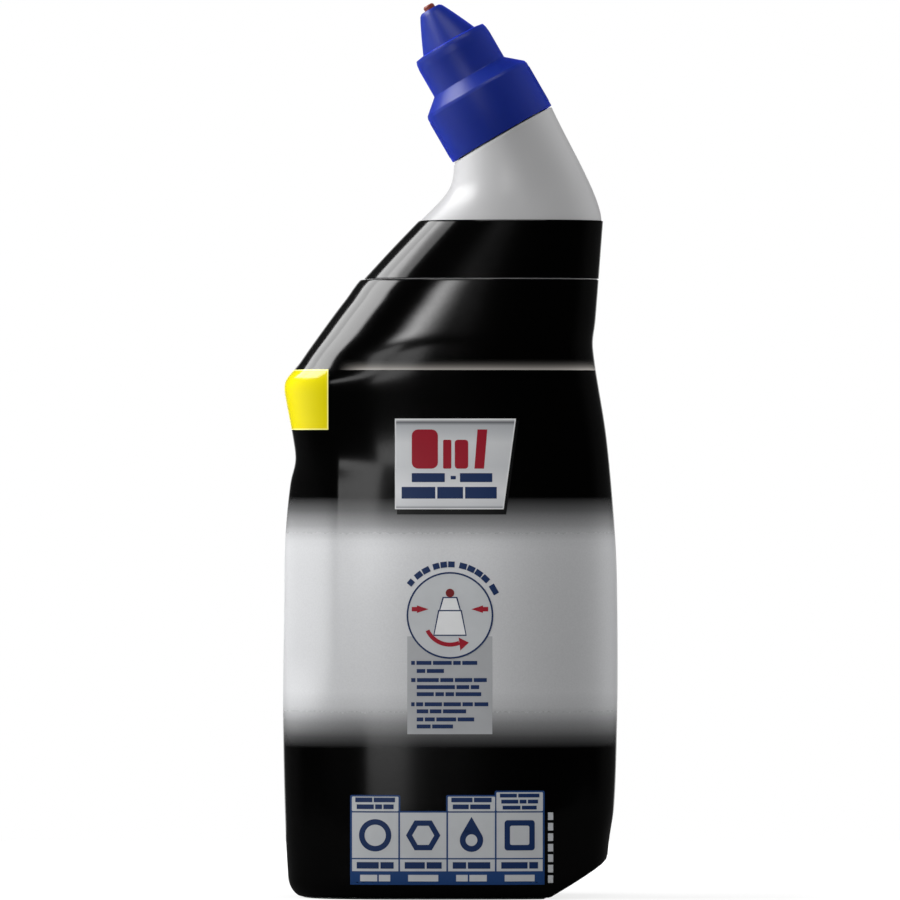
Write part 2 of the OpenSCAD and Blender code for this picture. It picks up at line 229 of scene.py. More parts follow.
@dataclass
class BottleForm:
    """Outer form of the blow-moulded bottle, with the sizes that the part is drawn from."""

    crown_z: float = 197.9
    crown_left: float = 8.8
    crown_right: float = 44.3
    crown_depth: float = 40
    shoulder_fold: float = 2.6
    fold_z: float = 180.6
    belly_left: float = 48.5
    belly_right: float = 48.4
    belly_depth: float = 52
    belly_z: float = 54
    belly_top_z: float = 86
    foot_draw: float = 1.9
    grip_left: float = 44.9
    grip_z: float = 127.6
    grip_depth: float = 47.4
    grip_scoop: float = 0.3
    scoop_z: float = 46
    scoop_drop: float = 12
    scoop_fade: float = 25
    crease_x: float = 32
    corner_left: float = 48.2
    corner_z: float = 149.2
    corner_cut: float = 3.9
    corner_rise: float = 6.2
    ridge_z: float = 160.5
    ridge_h: float = 6
    ridge_depth: float = 50.2
    waist_right: float = 41.3
    waist_z: float = 161
    wall: float = 1.1
    heel_w: float = 4.6
    heel_h: float = 6
    cut_x: float = 27.2
    cut_angle: float = 31
    cut_round: float = 2.6
    foot_w: float = 5
    push_up: float = 2.4
    neck_tilt: float = 30
    neck_x: float = 15.2
    neck_z: float = 223.4
    elbow_pull: float = 7.4
    bend_pull: float = 7
    root_r: float = 16.5
    root_gap: float = 0.35
    bore_r: float = 11
    mouth_wall: float = 2
    mouth_h: float = 13
    belly_power: float = 3.2
    corner_power: float = 2.9
    crown_power: float = 2.4
    seg: int = 160

    def __post_init__(self) -> None:
        """Work out the four profile lines and where the points of a section lie."""
        belly, grip = (self.belly_top_z, self.belly_left), (self.grip_z, self.grip_left)
        corner = (self.corner_z, self.corner_left)
        slope = (self.corner_z + self.corner_rise, self.corner_left - self.corner_cut)
        crown = (self.crown_z, self.crown_left)
        self.left_line = Curve((
            (0, self.belly_left - self.foot_draw),
            (self.belly_z * 0.4, self.belly_left - self.foot_draw * 0.35),
            (self.belly_z, self.belly_left),
            (self.belly_top_z, self.belly_left - 0.4),
            *between(belly, grip, ((0.45, 0.18), (0.85, 0.6))), grip,
            *between(grip, corner, ((0.28, 0.18), (0.82, 0.84))), corner,
            *between(corner, slope, ((0.42, 0.18),)), slope,
            *between(slope, crown, ((0.12, 0.1), (0.45, 0.39), (0.6, 0.55), (0.8, 0.77))), crown))
        belly, waist = (self.belly_top_z, self.belly_right), (self.waist_z, self.waist_right)
        crown = (self.crown_z, self.crown_right)
        self.right_line = Curve((
            (0, self.belly_right - self.foot_draw * 2),
            (self.belly_z * 0.3, self.belly_right - self.foot_draw * 1.3),
            (self.belly_z * 0.5, self.belly_right - self.foot_draw * 0.45),
            (self.belly_z, self.belly_right), belly,
            *between(belly, waist, ((0.25, 0.08), (0.64, 0.43))), waist,
            *between(waist, crown, ((0.2, 0.25),)), crown))
        self.depth_line = Curve((
            (0, self.belly_depth - self.foot_draw),
            (self.belly_z * 0.5, self.belly_depth),
            (self.belly_top_z, self.belly_depth),
            (self.grip_z, self.grip_depth),
            (self.ridge_z - self.ridge_h / 2, self.ridge_depth),
            (self.ridge_z + self.ridge_h / 2, self.ridge_depth),
            (self.crown_z, self.crown_depth + self.shoulder_fold)), 1.5)
        self.power_line = Curve((
            (0, self.belly_power), (self.belly_top_z, self.belly_power), (self.corner_z, self.corner_power),
            (self.crown_z, self.crown_power)), 4)
        self.angles = self.even_angles()
        tilt = math.radians(self.neck_tilt)
        self.across = np.array([math.cos(tilt), math.sin(tilt)])
        self.up = np.array([-math.sin(tilt), math.cos(tilt)])
        self.mouth_r = self.bore_r + self.mouth_wall

    def even_angles(self) -> np.ndarray:
        """Angles at which the belly's section has evenly spaced points.

        Returns:
            One angle in radians for each point of a section.
        """
        fine = np.linspace(0, math.pi / 2, 4001)
        x = self.belly_left * np.cos(fine) ** (2 / self.belly_power)
        y = self.belly_depth / 2 * np.sin(fine) ** (2 / self.belly_power)
        run = np.concatenate([[0], np.cumsum(np.hypot(np.diff(x), np.diff(y)))])
        quarter = np.interp(np.linspace(0, run[-1], self.seg // 4 + 1)[:-1], run, fine)
        return np.concatenate([quarter + k * math.pi / 2 if k % 2 == 0 else
                               k * math.pi / 2 + np.append(0, (math.pi / 2 - quarter[1:])[::-1])
                               for k in range(4)])

    def neck_at(self, t: float) -> np.ndarray:
        """Middle of the neck, as [x, z], at the height t above the cap's lower edge."""
        return np.array([self.neck_x, self.neck_z]) + t * self.up

    def neck_matrix(self) -> Matrix:
        """Placement in metres of things drawn about the neck's own upright line, in metres."""
        turn = Matrix.Rotation(-math.radians(self.neck_tilt), 4, "Y")
        return Matrix.Translation((self.neck_x * MM, 0, self.neck_z * MM)) @ turn

    def about_neck(self, rows: Iterable[tuple[float, float, float]]) -> np.ndarray:
        """Points from their radius, angle and height about the neck's own upright line."""
        turn = self.neck_matrix()
        spots = [Vector((r * math.cos(a), r * math.sin(a), h)) * MM for r, a, h in rows]
        return np.array([turn @ spot / MM for spot in spots])

    def body(self, z: Iterable[float]) -> Sections:
        """Cross-sections of the body.

        Args:
            z: heights of the sections.

        Returns:
            The level sections at those heights.
        """
        z = np.asarray(list(z), float)
        drop = np.clip(1 - z / self.heel_h, 0, 1)
        inset = self.heel_w * (1 - np.sqrt(1 - drop**2))
        scoop = (ease((self.corner_z - self.scoop_drop - z) / self.scoop_fade)
                 * ease((z - self.scoop_z) / self.scoop_fade))
        return Sections(
            np.stack([inset - self.left_line.at(z), z], 1),
            np.stack([self.right_line.at(z) - inset, z], 1),
            self.depth_line.at(z) - 2 * inset - self.shoulder_fold * np.clip(
                (z - self.fold_z) / (self.crown_z - self.fold_z), 0, 1),
            self.power_line.at(z),
            scoop,
        )

    def neck(self, steps: Iterable[float]) -> Sections:
        """Cross-sections of the bent neck.

        Args:
            steps: places from 0 at the crown to 1 just under the cap.

        Returns:
            The sections, which turn from level to the neck's own lean.
        """
        u = np.asarray(list(steps), float)[:, None]
        root = self.neck_at(-self.root_gap)
        root_left, root_right = root - self.root_r * self.across, root + self.root_r * self.across
        crown_left = np.array([-self.crown_left, self.crown_z])
        crown_right = np.array([self.crown_right, self.crown_z])
        ends = []
        for p in (
            (crown_left, crown_left + self.elbow_pull, root_left - [0, self.elbow_pull * 1.1], root_left),
            (crown_right, crown_right + [0, self.bend_pull],
             root_right + self.bend_pull * np.array([0.6, -1.35]), root_right),
        ):
            ends.append((1 - u) ** 3 * p[0] + 3 * u * (1 - u) ** 2 * p[1]
                        + 3 * u * u * (1 - u) * p[2] + u**3 * p[3])
        flat = u[:, 0]
        depth = mix(self.crown_depth, 2 * self.root_r, flat * (2 - flat))
        return Sections(ends[0], ends[1], depth, mix(self.crown_power, 2.0, flat), flat * 0)

    def inward(self, s: Sections, across: np.ndarray) -> np.ndarray:
        """How far a point lies in the scooped panel beside the grip.

        Args:
            s: the sections.
            across: the point's place from -1 at the left end to 1 at the right.

        Returns:
            A share from 0 at the crease to 1 at the left end.
        """
        half = (s.right[:, :1] - s.left[:, :1]) / 2
        x = (s.left[:, :1] + s.right[:, :1]) / 2 + across * half
        return ease((-x - self.crease_x) / (-s.left[:, :1] - self.crease_x))

    def rings(self, s: Sections, out: float, stand: Optional[np.ndarray] = None) -> np.ndarray:
        """Points round sections.

        Args:
            s: the sections.
            out: how far the points are set out from the bottle.
            stand: for each section, how much further out its left end is set.

        Returns:
            Points as [section, place, xyz].
        """
        c, d = np.cos(self.angles)[None], np.sin(self.angles)[None]
        power = 2 / s.power[:, None]
        across = np.sign(c) * np.abs(c) ** power
        deep = np.sign(d) * np.abs(d) ** power
        lift = 0 if stand is None else stand[:, None] * ((1 - c) / 2) ** 6
        reach = out + lift + c * 0
        half = (s.right - s.left) / 2
        mid = (s.right + s.left) / 2
        length = np.hypot(half[:, 0], half[:, 1])[:, None]
        along = across * (length + reach)
        x = mid[:, :1] + along * half[:, :1] / length
        z = mid[:, 1:] + along * half[:, 1:] / length
        scooped = 1 - self.grip_scoop * s.scoop[:, None] * self.inward(s, across)
        y = (s.depth[:, None] / 2 * scooped + reach) * deep
        angle = math.radians(self.cut_angle)
        cut = self.cut_x + z / math.tan(angle) + out / math.sin(angle)
        x = np.minimum(x, cut) - np.maximum(self.cut_round - np.abs(x - cut), 0) ** 2 / (4 * self.cut_round)
        return np.stack([x, y, z], 2)

    def circles(self, profile: Sequence[Point], angles: Optional[np.ndarray] = None) -> np.ndarray:
        """Circles about the neck's own line.

        Args:
            profile: each circle's radius and height above the cap's lower edge.
            angles: angles of the points, or None for those of a section.

        Returns:
            Points as [circle, place, xyz].
        """
        a = self.angles if angles is None else angles
        rows = []
        for r, t in profile:
            x, z = self.neck_at(t)
            along = r * np.cos(a)
            rows.append(np.stack([x + along * self.across[0], r * np.sin(a), z + along * self.across[1]], 1))
        return np.array(rows)

    def back_y(self, x: np.ndarray, z: np.ndarray, out: float) -> np.ndarray:
        """Depth of the surface that faces the camera.

        Args:
            x: places across.
            z: heights.
            out: how far the surface is set out from the bottle.

        Returns:
            The surface's Y at each place.
        """
        s = self.body(z)
        half = (s.right[:, 0] - s.left[:, 0]) / 2
        t = np.clip((x - (s.left[:, 0] + s.right[:, 0]) / 2) / (half + out), -1, 1)
        scooped = 1 - self.grip_scoop * s.scoop * self.inward(s, t[:, None])[:, 0]
        return -(s.depth / 2 * scooped + out) * (1 - np.abs(t) ** s.power) ** (1 / s.power)


@dataclass
class Shell:
    """Points and faces of one mesh in millimetres, gathered from closed parts."""

    points: list = field(default_factory=list)
    faces: list = field(default_factory=list)

    def add(self, points: Iterable[Sequence[float]], faces: Iterable[Sequence[int]]) -> None:
        """Add a part, whose faces count its own points from 0."""
        first = len(self.points)
        self.points.extend(tuple(p) for p in points)
        self.faces.extend([first + i for i in f] for f in faces)

    def skin(self, rings: np.ndarray, loop: bool = False) -> None:
        """Add a skin over rings of points.

        Args:
            rings: points as [ring, place, xyz], in order up the outside.
            loop: whether the last ring joins the first, instead of a fan closing each end.
        """
        n, seg = rings.shape[:2]
        points = list(rings.reshape(-1, 3))
        faces = []
        for j in range(n if loop else n - 1):
            a, b = j * seg, (j + 1) % n * seg
            faces += [(a + i, a + (i + 1) % seg, b + (i + 1) % seg, b + i) for i in range(seg)]
        if not loop:
            points += [rings[0].mean(0), rings[-1].mean(0)]
            last = (n - 1) * seg
            faces += [(n * seg, (i + 1) % seg, i) for i in range(seg)]
            faces += [(n * seg + 1, last + i, last + (i + 1) % seg) for i in range(seg)]
        self.add(points, faces)

    def sweep(self, stations: Sequence[np.ndarray]) -> None:
        """Add a closed bar through stations of as many points each."""
        n, m = len(stations), len(stations[0])
        faces = [
            (j * m + i, j * m + (i + 1) % m, (j + 1) * m + (i + 1) % m, (j + 1) * m + i)
            for j in range(n - 1) for i in range(m)
        ]
        faces += [tuple(range(m))[::-1], tuple(range((n - 1) * m, n * m))]
        self.add(np.concatenate(stations), faces)

    def mesh(self, name: str) -> Mesh:
        """Make the mesh in metres, under the given name."""
        made = bpy.data.meshes.new(name)
        made.from_pydata([tuple(c * MM for c in p) for p in self.points], [], self.faces)
        made.update()
        return made


def outward(mesh: Mesh, merge: float = 1e-7) -> None:
    """Merge a mesh's doubles and turn each of its closed parts to face outwards."""
    work = bmesh.new()
    work.from_mesh(mesh)
    bmesh.ops.remove_doubles(work, verts=work.verts, dist=merge)
    bmesh.ops.recalc_face_normals(work, faces=work.faces)
    work.to_mesh(mesh)
    work.free()


def flat_copy(source: bpy.types.Object) -> Mesh:
    """Turn what an object's modifiers make into a plain mesh, and remove the object.

    Args:
        source: the object with its Geometry Nodes modifier.

    Returns:
        The mesh, without modifiers.
    """
    graph = bpy.context.evaluated_depsgraph_get()
    mesh = bpy.data.meshes.new_from_object(source.evaluated_get(graph))
    old = source.data
    source.modifiers.clear()
    bpy.data.objects.remove(source)
    bpy.data.meshes.remove(old)
    return mesh


def run_tree(tree: Tree, mesh: Mesh, values: dict) -> Mesh:
    """Run a Geometry Nodes tree on a mesh.

    Args:
        tree: the tree.
        mesh: the mesh that it starts from.
        values: the tree's inputs by name.

    Returns:
        The plain mesh that it makes.
    """
    carrier = bpy.data.objects.new(tree.name, mesh)
    bpy.context.scene.collection.objects.link(carrier)
    modifier = carrier.modifiers.new(tree.name, "NODES")
    modifier.node_group = tree
    sockets = {s.name: s.identifier for s in tree.interface.items_tree if s.in_out == "INPUT"}
    for key, value in values.items():
        modifier[sockets[key]] = value
    return flat_copy(carrier)


def new_tree(name: str, sockets: Sequence[tuple[str, str]]) -> tuple[Tree, bpy.types.Node]:
    """Start a Geometry Nodes tree.

    Args:
        name: the tree's name.
        sockets: name and type of each input after the geometry.

    Returns:
        The tree and its input node.
    """
    tree = bpy.data.node_groups.new(name, "GeometryNodeTree")
    tree.interface.new_socket("Geometry", in_out="INPUT", socket_type="NodeSocketGeometry")
    for label, kind in sockets:
        tree.interface.new_socket(label, in_out="INPUT", socket_type=kind)
    tree.interface.new_socket("Geometry", in_out="OUTPUT", socket_type="NodeSocketGeometry")
    return tree, node(tree, "NodeGroupInput")


def close_tree(tree: Tree, geometry: Socket, material: Socket) -> None:
    """End a tree in realized instances and one material."""
    real = node(tree, "GeometryNodeRealizeInstances", {"Geometry": geometry})
    dressed = node(tree, "GeometryNodeSetMaterial", {"Geometry": real.outputs[0], "Material": material})
    node(tree, "NodeGroupOutput", {0: dressed.outputs[0]})


def place(mesh: Mesh, name: str, body: str, material: Optional[Material] = None,
          stands_for: Sequence[str] = (), sharp: float = 32) -> bpy.types.Object:
    """Make a piece of the object from its mesh.

    Args:
        mesh: the piece's mesh, already in place.
        name: the piece's name.
        body: the body that it rides on.
        material: its material, or None where the mesh has one.
        stands_for: the frame's nodes that it replaces.
        sharp: the angle in degrees past which an edge is shaded sharp.

    Returns:
        The piece.
    """
    mesh.name = name
    if material is not None:
        mesh.materials.clear()
        mesh.materials.append(material)
    mesh.shade_smooth()
    mesh.set_sharp_from_angle(angle=math.radians(sharp))
    piece = bpy.data.objects.new(name, mesh)
    bpy.context.scene.collection.objects.link(piece)
    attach(piece, body)
    if stands_for:
        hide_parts(*stands_for)
    mesh.calc_loop_triangles()
    LOG.info("%s: %d triangles on %s", name, len(mesh.loop_triangles), body)
    return piece


@dataclass(frozen=True)
class Finish:
    """A plain finish: one colour that drifts a little, a fine pattern, and an even gloss."""

    name: str
    colour: str
    roughness: float
    ior: float = 1.5
    metallic: float = 0.0
    sheen: float = 0.0
    sheen_tint: str = "#FFFFFF"
    depth_mm: float = 0.0
    drift: float = 0.06
    pattern_mm: float = 0.6
    bump_mm: float = 0.004
    gloss_drift: float = 0.04

    def paint(self, tree: Tree, spot: Socket) -> dict:
        """Colour the surface.

        Args:
            tree: the material's tree.
            spot: the place on the object.

        Returns:
            The shader's inputs for colour and metal.
        """
        base = linear(self.colour)
        dark = tuple(c * (1 - self.drift * 2) for c in base[:3]) + (1.0,)
        colour = mixed(tree, noise(tree, spot, self.pattern_mm * 12, 3.0), dark, base)
        return {"Base Color": colour, "Metallic": self.metallic}

    def build(self) -> Material:
        """Make the material.

        Returns:
            The material, with its node tree.
        """
        material = bpy.data.materials.new(self.name)
        material.use_nodes = True
        tree = material.node_tree
        tree.nodes.clear()
        spot = node(tree, "ShaderNodeTexCoord").outputs["Object"]
        fine = noise(tree, spot, self.pattern_mm, 4.0)
        inputs = self.paint(tree, spot)
        drift = remap(tree, fine, (0.0, 1.0), (-self.gloss_drift, self.gloss_drift))
        gloss = node(tree, "ShaderNodeMath", {
            0: inputs.pop("Roughness", self.roughness), 1: drift}, use_clamp=True)
        bump = node(tree, "ShaderNodeBump", {"Height": fine, "Strength": 1.0, "Distance": self.bump_mm * MM})
        shader = node(tree, "ShaderNodeBsdfPrincipled", {
            **inputs, "Roughness": gloss.outputs[0], "IOR": self.ior, "Normal": bump.outputs[0],
            "Sheen Weight": self.sheen, "Sheen Roughness": SHEEN_ROUGHNESS,
            "Sheen Tint": linear(self.sheen_tint), "Subsurface Weight": SCATTER if self.depth_mm else 0.0,
            "Subsurface Scale": self.depth_mm * MM, "Subsurface Radius": SCATTER_RADII})
        node(tree, "ShaderNodeOutputMaterial", {"Surface": shader.outputs[0]})
        return material


@dataclass(frozen=True)
class FilmFinish(Finish):
    """Glossy black shrink film, with its large printed silver band and yellow field and a pale stripe, laid
    by height and place.
    """

    silver: str = "#E2E3E5"
    silver_roughness: float = 0.34
    stripe: str = "#BDB8B2"
    yellow: str = "#D8CA00"
    stripe_z: float = 154.1
    stripe_top: float = 157.9
    stripe_x: float = -33.0
    patch_x: float = -35.5
    patch_low: float = 136.7
    patch_high: float = 154.3
    patch_rim: str = "#EFE98A"
    patch_inset: float = 0.35
    flake_mm: float = 0.5
    stripe_power: float = 3.4
    stripe_fade: float = 9.0
    fade: tuple[Point, ...] = (
        (44.2, 0.0), (44.6, 0.012), (45.6, 0.045), (47.3, 0.1), (51.7, 0.37), (56.1, 0.83), (60.5, 1.0),
        (102.1, 1.0), (104.5, 0.93), (108.8, 0.44), (113.2, 0.14), (117.1, 0.0))

    def paint(self, tree: Tree, spot: Socket) -> dict:
        """Lay the silver band, the pale stripe and the yellow field over the black.

        Args:
            tree: the material's tree.
            spot: the place on the object.

        Returns:
            The shader's inputs for colour and metal.
        """
        split = node(tree, "ShaderNodeSeparateXYZ", {0: spot})
        x, z = split.outputs["X"], split.outputs["Z"]
        silver = ramp(tree, z, [(height, (value, value, value, 1)) for height, value in self.fade], 2)
        flake = remap(tree, noise(tree, spot, self.flake_mm, 2.0), (0.0, 1.0), (0.93, 1.07))
        ink = mixed(tree, 1.0, linear(self.silver), flake, blend_type="MULTIPLY")
        colour = mixed(tree, silver, linear(self.colour), ink)
        # Pale stripe: a lighter colour that fades upward from a sharp line at stripe_z and fades in from the
        # left
        fade_up = remap(tree, z, (self.stripe_z * MM, self.stripe_top * MM), (1.0, 0.0))
        fade_up = calc(tree, "POWER", fade_up, self.stripe_power)
        above = calc(tree, "GREATER_THAN", z, self.stripe_z * MM)
        fade_in = remap(tree, x, (self.stripe_x * MM, (self.stripe_x + self.stripe_fade) * MM),
                        interpolation_type="SMOOTHSTEP")
        line = calc(tree, "MULTIPLY", calc(tree, "MULTIPLY", fade_up, above), fade_in)
        colour = mixed(tree, line, colour, linear(self.stripe))
        for code, inset in ((self.patch_rim, 0.0), (self.yellow, self.patch_inset)):
            inside = calc(tree, "LESS_THAN", x, (self.patch_x - inset) * MM)
            ends = ((self.patch_low + inset, "GREATER_THAN"), (self.patch_high - inset, "LESS_THAN"))
            for edge, sign in ends:
                inside = calc(tree, "MULTIPLY", inside, calc(tree, sign, z, edge * MM))
            colour = mixed(tree, inside, colour, linear(code))
        dull = remap(tree, silver, (0.0, 1.0), (self.roughness, self.silver_roughness))
        metal = calc(tree, "MULTIPLY", silver, self.metallic)
        return {"Base Color": colour, "Metallic": metal, "Roughness": dull}


@dataclass(frozen=True)
class BadgeFinish(Finish):
    """Silver ink of the badge, shaded in level lines from its top edge to its lower one."""

    shades: tuple[tuple[float, str], ...] = (
        (113.6, "#F8F9FA"), (114.1, "#9EA1A6"), (114.7, "#DADCDF"), (118.5, "#ECEDEF"), (126.0, "#DADCDF"),
        (133.0, "#E6E8EA"), (138.0, "#C6C9CD"), (138.9, "#6E7176"), (139.6, "#E4E6E8"))

    def paint(self, tree: Tree, spot: Socket) -> dict:
        """Shade the ink by height.

        Args:
            tree: the material's tree.
            spot: the place on the object.

        Returns:
            The shader's inputs for colour and metal.
        """
        z = node(tree, "ShaderNodeSeparateXYZ", {0: spot}).outputs["Z"]
        shade = ramp(tree, z, [(height, linear(code)) for height, code in self.shades], 1)
        return {"Base Color": shade, "Metallic": self.metallic}


# Blow-moulded HDPE with silver pigment: a satin skin with the faint flow marks of the mould
BOTTLE_PLASTIC = Finish("hdpe_silver_blow_moulded", "#B6B6B7", 0.3, 1.5, drift=0.03, pattern_mm=0.9,
                        bump_mm=0.006, gloss_drift=0.05)
# Injection-moulded polypropylene, deep blue: smooth and half glossy, with a waxy depth
CAP_PLASTIC = Finish("polypropylene_blue_moulded", "#122A8C", 0.36, 1.42, sheen=0.6, sheen_tint="#2338FF",
                     depth_mm=1.0, drift=0.05, pattern_mm=0.5, bump_mm=0.003)
# Injection-moulded polypropylene, brick red: satin from a plain mould
FITMENT_PLASTIC = Finish("polypropylene_brick_moulded", "#8A3B2C", 0.42, 1.49, drift=0.08, pattern_mm=0.4)
# Moulded rubber of the seal: dull, slightly dusty
SEAL_RUBBER = Finish("seal_rubber_moulded", "#2C2C2E", 0.7, 1.52, drift=0.1, pattern_mm=0.3, bump_mm=0.01)
# Shrink film of PETG printed on its inner face: wet-looking black, with slow ripples from shrinking
BAND_FILM = Finish("petg_film_black", "#030303", 0.13, 1.5, drift=0.1, pattern_mm=1.4, bump_mm=0.003,
                   gloss_drift=0.02)
SLEEVE_FILM = FilmFinish("petg_film_printed", "#030303", 0.13, 1.5, 0.34, drift=0.1, pattern_mm=1.4,
                         bump_mm=0.003, gloss_drift=0.02)


def printed(name: str, colour: str, roughness: float = 0.3, metallic: float = 0.0,
            kind: type[Finish] = Finish) -> Finish:
    """Finish of a printing ink, by its name, colour, roughness and share of metal."""
    return kind(f"ink_{name}_printed", colour, roughness, 1.4, metallic, pattern_mm=0.4, bump_mm=0.001)


class Ink(Enum):
    """Printing inks of the back label, each with its finish."""

    NAVY = printed("navy", "#16305F")
    BLUE = printed("blue", "#1D4279")
    RED = printed("red", "#A3142A")
    BRICK = printed("brick", "#7C1A1E")
    BLACK = printed("black", "#060607")
    PALE = printed("pale_silver", "#D2D5D8", 0.35, 0.15)
    GREY = printed("grey_silver", "#BEC0C3", 0.35, 0.2)
    WHITE = printed("white", "#F1F2F3", 0.35)
    BADGE = printed("badge_silver", "#C9CBCE", 0.3, 0.2, BadgeFinish)


class Layer(Enum):
    """How far the face of a printed layer stands off the film, in millimetres."""

    GROUND = 0.04
    FIELD = 0.065
    LINE = 0.09
    TOP = 0.115
    MARK = 0.14


@dataclass
class BottleShell:
    """The blow-moulded bottle, with its neck, mouth, thread ridges and stop lugs."""

    form: BottleForm
    thread_lead: float = 10.8
    thread_starts: int = 3
    thread_arc: float = 70
    thread_h: float = 1.1
    thread_z: float = 7.6
    lug_arc: float = 14
    lug_h: float = 3
    neck_thread_r: float = 14.7
    lug_split: float = 14.65
    clear: float = 0.3

    def ridge(self, shell: Shell, root: float, tip: float, z: float) -> None:
        """Add the helical thread ridges, which stand from the radius root to the radius tip."""
        half = self.thread_h / 2
        for k in range(self.thread_starts):
            stations = []
            for u in np.linspace(0, 1, 25):
                angle = math.radians(360 * k / self.thread_starts + self.thread_arc * u)
                level = z + self.thread_lead * self.thread_arc * u / 360
                crest = mix(root, tip, 0.35 + 0.65 * min(1, 4 * u, 4 * (1 - u)))
                row = [(root, -half), (crest, -half / 2), (crest, half / 2), (root, half)]
                if tip < root:
                    row.reverse()
                stations.append(self.form.about_neck((r, angle, level + h) for r, h in row))
            shell.sweep(stations)

    def lug(self, shell: Shell, inner: float, outer: float, middle: float, z: float) -> None:
        """Add a stop lug between two radii, centred on the angle middle in degrees."""
        row = [(inner, z), (outer, z), (outer, z + self.lug_h), (inner, z + self.lug_h)]
        turns = np.radians(np.linspace(middle - self.lug_arc / 2, middle + self.lug_arc / 2, 7))
        shell.sweep([self.form.about_neck((r, a, h) for r, h in row) for a in turns])

    def levels(self) -> np.ndarray:
        """Heights of the body's sections, closest over the heel and the shoulder corner."""
        f = self.form
        heel = f.heel_h * (1 - np.cos(np.linspace(0, math.pi / 2, 9)))
        low = np.arange(f.heel_h + 1.5, f.corner_z - 6, 2.4)
        corner = np.arange(f.corner_z - 6, f.corner_z + 12, 0.9)
        high = np.arange(f.corner_z + 13, f.crown_z, 2.0)
        return np.concatenate([heel, low, corner, high])

    def build(self) -> bpy.types.Object:
        """Make the bottle.

        Returns:
            The piece that stands for the bottle.
        """
        f = self.form
        levels = self.levels()
        foot = f.body([0.0])
        rise = np.array([0, 0, 1.0])
        bends = np.linspace(0, 1, 41)[:-1]
        inner = levels[levels > f.wall * 2]
        edge, root = -f.root_gap, f.root_r
        outside = [
            f.rings(foot, -f.foot_w - 9) + rise * f.push_up,
            f.rings(foot, -f.foot_w - 2) + rise * f.push_up,
            f.rings(foot, -f.foot_w - 0.6) + rise * 0.9,
            f.rings(foot, -f.foot_w),
            f.rings(f.body(levels), 0),
            f.rings(f.neck(bends), 0),
            f.circles([(root, edge - 0.35), (root - 0.1, edge - 0.1), (root - 0.35, edge), (f.mouth_r, edge),
                       (f.mouth_r, f.mouth_h - 0.6), (f.mouth_r - 0.2, f.mouth_h - 0.2),
                       (f.mouth_r - 0.6, f.mouth_h), (f.bore_r, f.mouth_h)]),
        ]
        inside = [
            f.circles([(f.bore_r, edge - f.wall), (root - f.wall, edge - f.wall - 0.5)]),
            f.rings(f.neck(bends[::-4][:-1]), -f.wall),
            f.rings(f.body(inner[::-2]), -f.wall),
            f.rings(foot, -f.wall - f.heel_w * 0.4) + rise * f.wall,
            f.rings(foot, -f.foot_w) + rise * f.wall,
            f.rings(foot, -f.foot_w - 2) + rise * (f.push_up + f.wall),
        ]
        shell = Shell()
        shell.skin(np.concatenate(outside + inside))
        self.ridge(shell, f.mouth_r - 0.4, self.neck_thread_r, self.thread_z)
        for a in (90, 270):
            self.lug(shell, f.mouth_r - 0.4, self.lug_split - self.clear / 2, a, f.root_gap)
        return place(shell.mesh("bottle_shell"), "bottle_shell", "bottle_body",
                     BOTTLE_PLASTIC.build(), ("bottle",))


@dataclass
class FilmSleeve:
    """One shrunk film sleeve between two heights, with its top edge standing off at the left."""

    form: BottleForm
    name: str
    low: float
    high: float
    stand: float
    slot: str
    node_name: str
    finish: Finish
    film: float = 0.4
    fit: float = 0.1
    stand_h: float = 6
    step: float = 1.4

    def build(self) -> bpy.types.Object:
        """Make the sleeve.

        Returns:
            The piece that stands for the sleeve.
        """
        heel = self.form.heel_h * (1 - np.cos(np.linspace(0, math.pi / 2, 12)))
        body = np.arange(max(self.form.heel_h + 1, self.low + self.step), self.high - 0.6, self.step)
        corner = np.arange(self.form.corner_z - 5, self.form.corner_z + 11, 0.7)
        body = np.concatenate([body[np.abs(body - self.form.corner_z - 3) > 8.2], corner])
        z = np.concatenate([heel, body])
        z = z[(z > self.low + 0.4) & (z < self.high - 0.6)]
        z = np.unique(np.append(z, [self.low + 0.15, self.high - 0.5, self.high - 0.15]))
        lift = self.stand * ease((z - self.high + self.stand_h) / self.stand_h)
        ends = self.form.body([self.low, self.high])
        stood = np.array([0.0, self.stand])
        out, mid = self.fit + self.film, self.fit + self.film * 0.65
        rows = [
            self.form.rings(ends, mid, stood)[:1],
            self.form.rings(self.form.body(z), out, lift),
            self.form.rings(ends, mid, stood)[1:],
            self.form.rings(ends, self.fit, stood)[1:],
            self.form.rings(self.form.body(z[::-2]), self.fit, lift[::-2]),
            self.form.rings(ends, self.fit, stood)[:1],
        ]
        shell = Shell()
        shell.skin(np.concatenate(rows), loop=True)
        return place(shell.mesh(self.name), self.name, "bottle_body", self.finish.build(),
                     (self.node_name,), sharp=40)


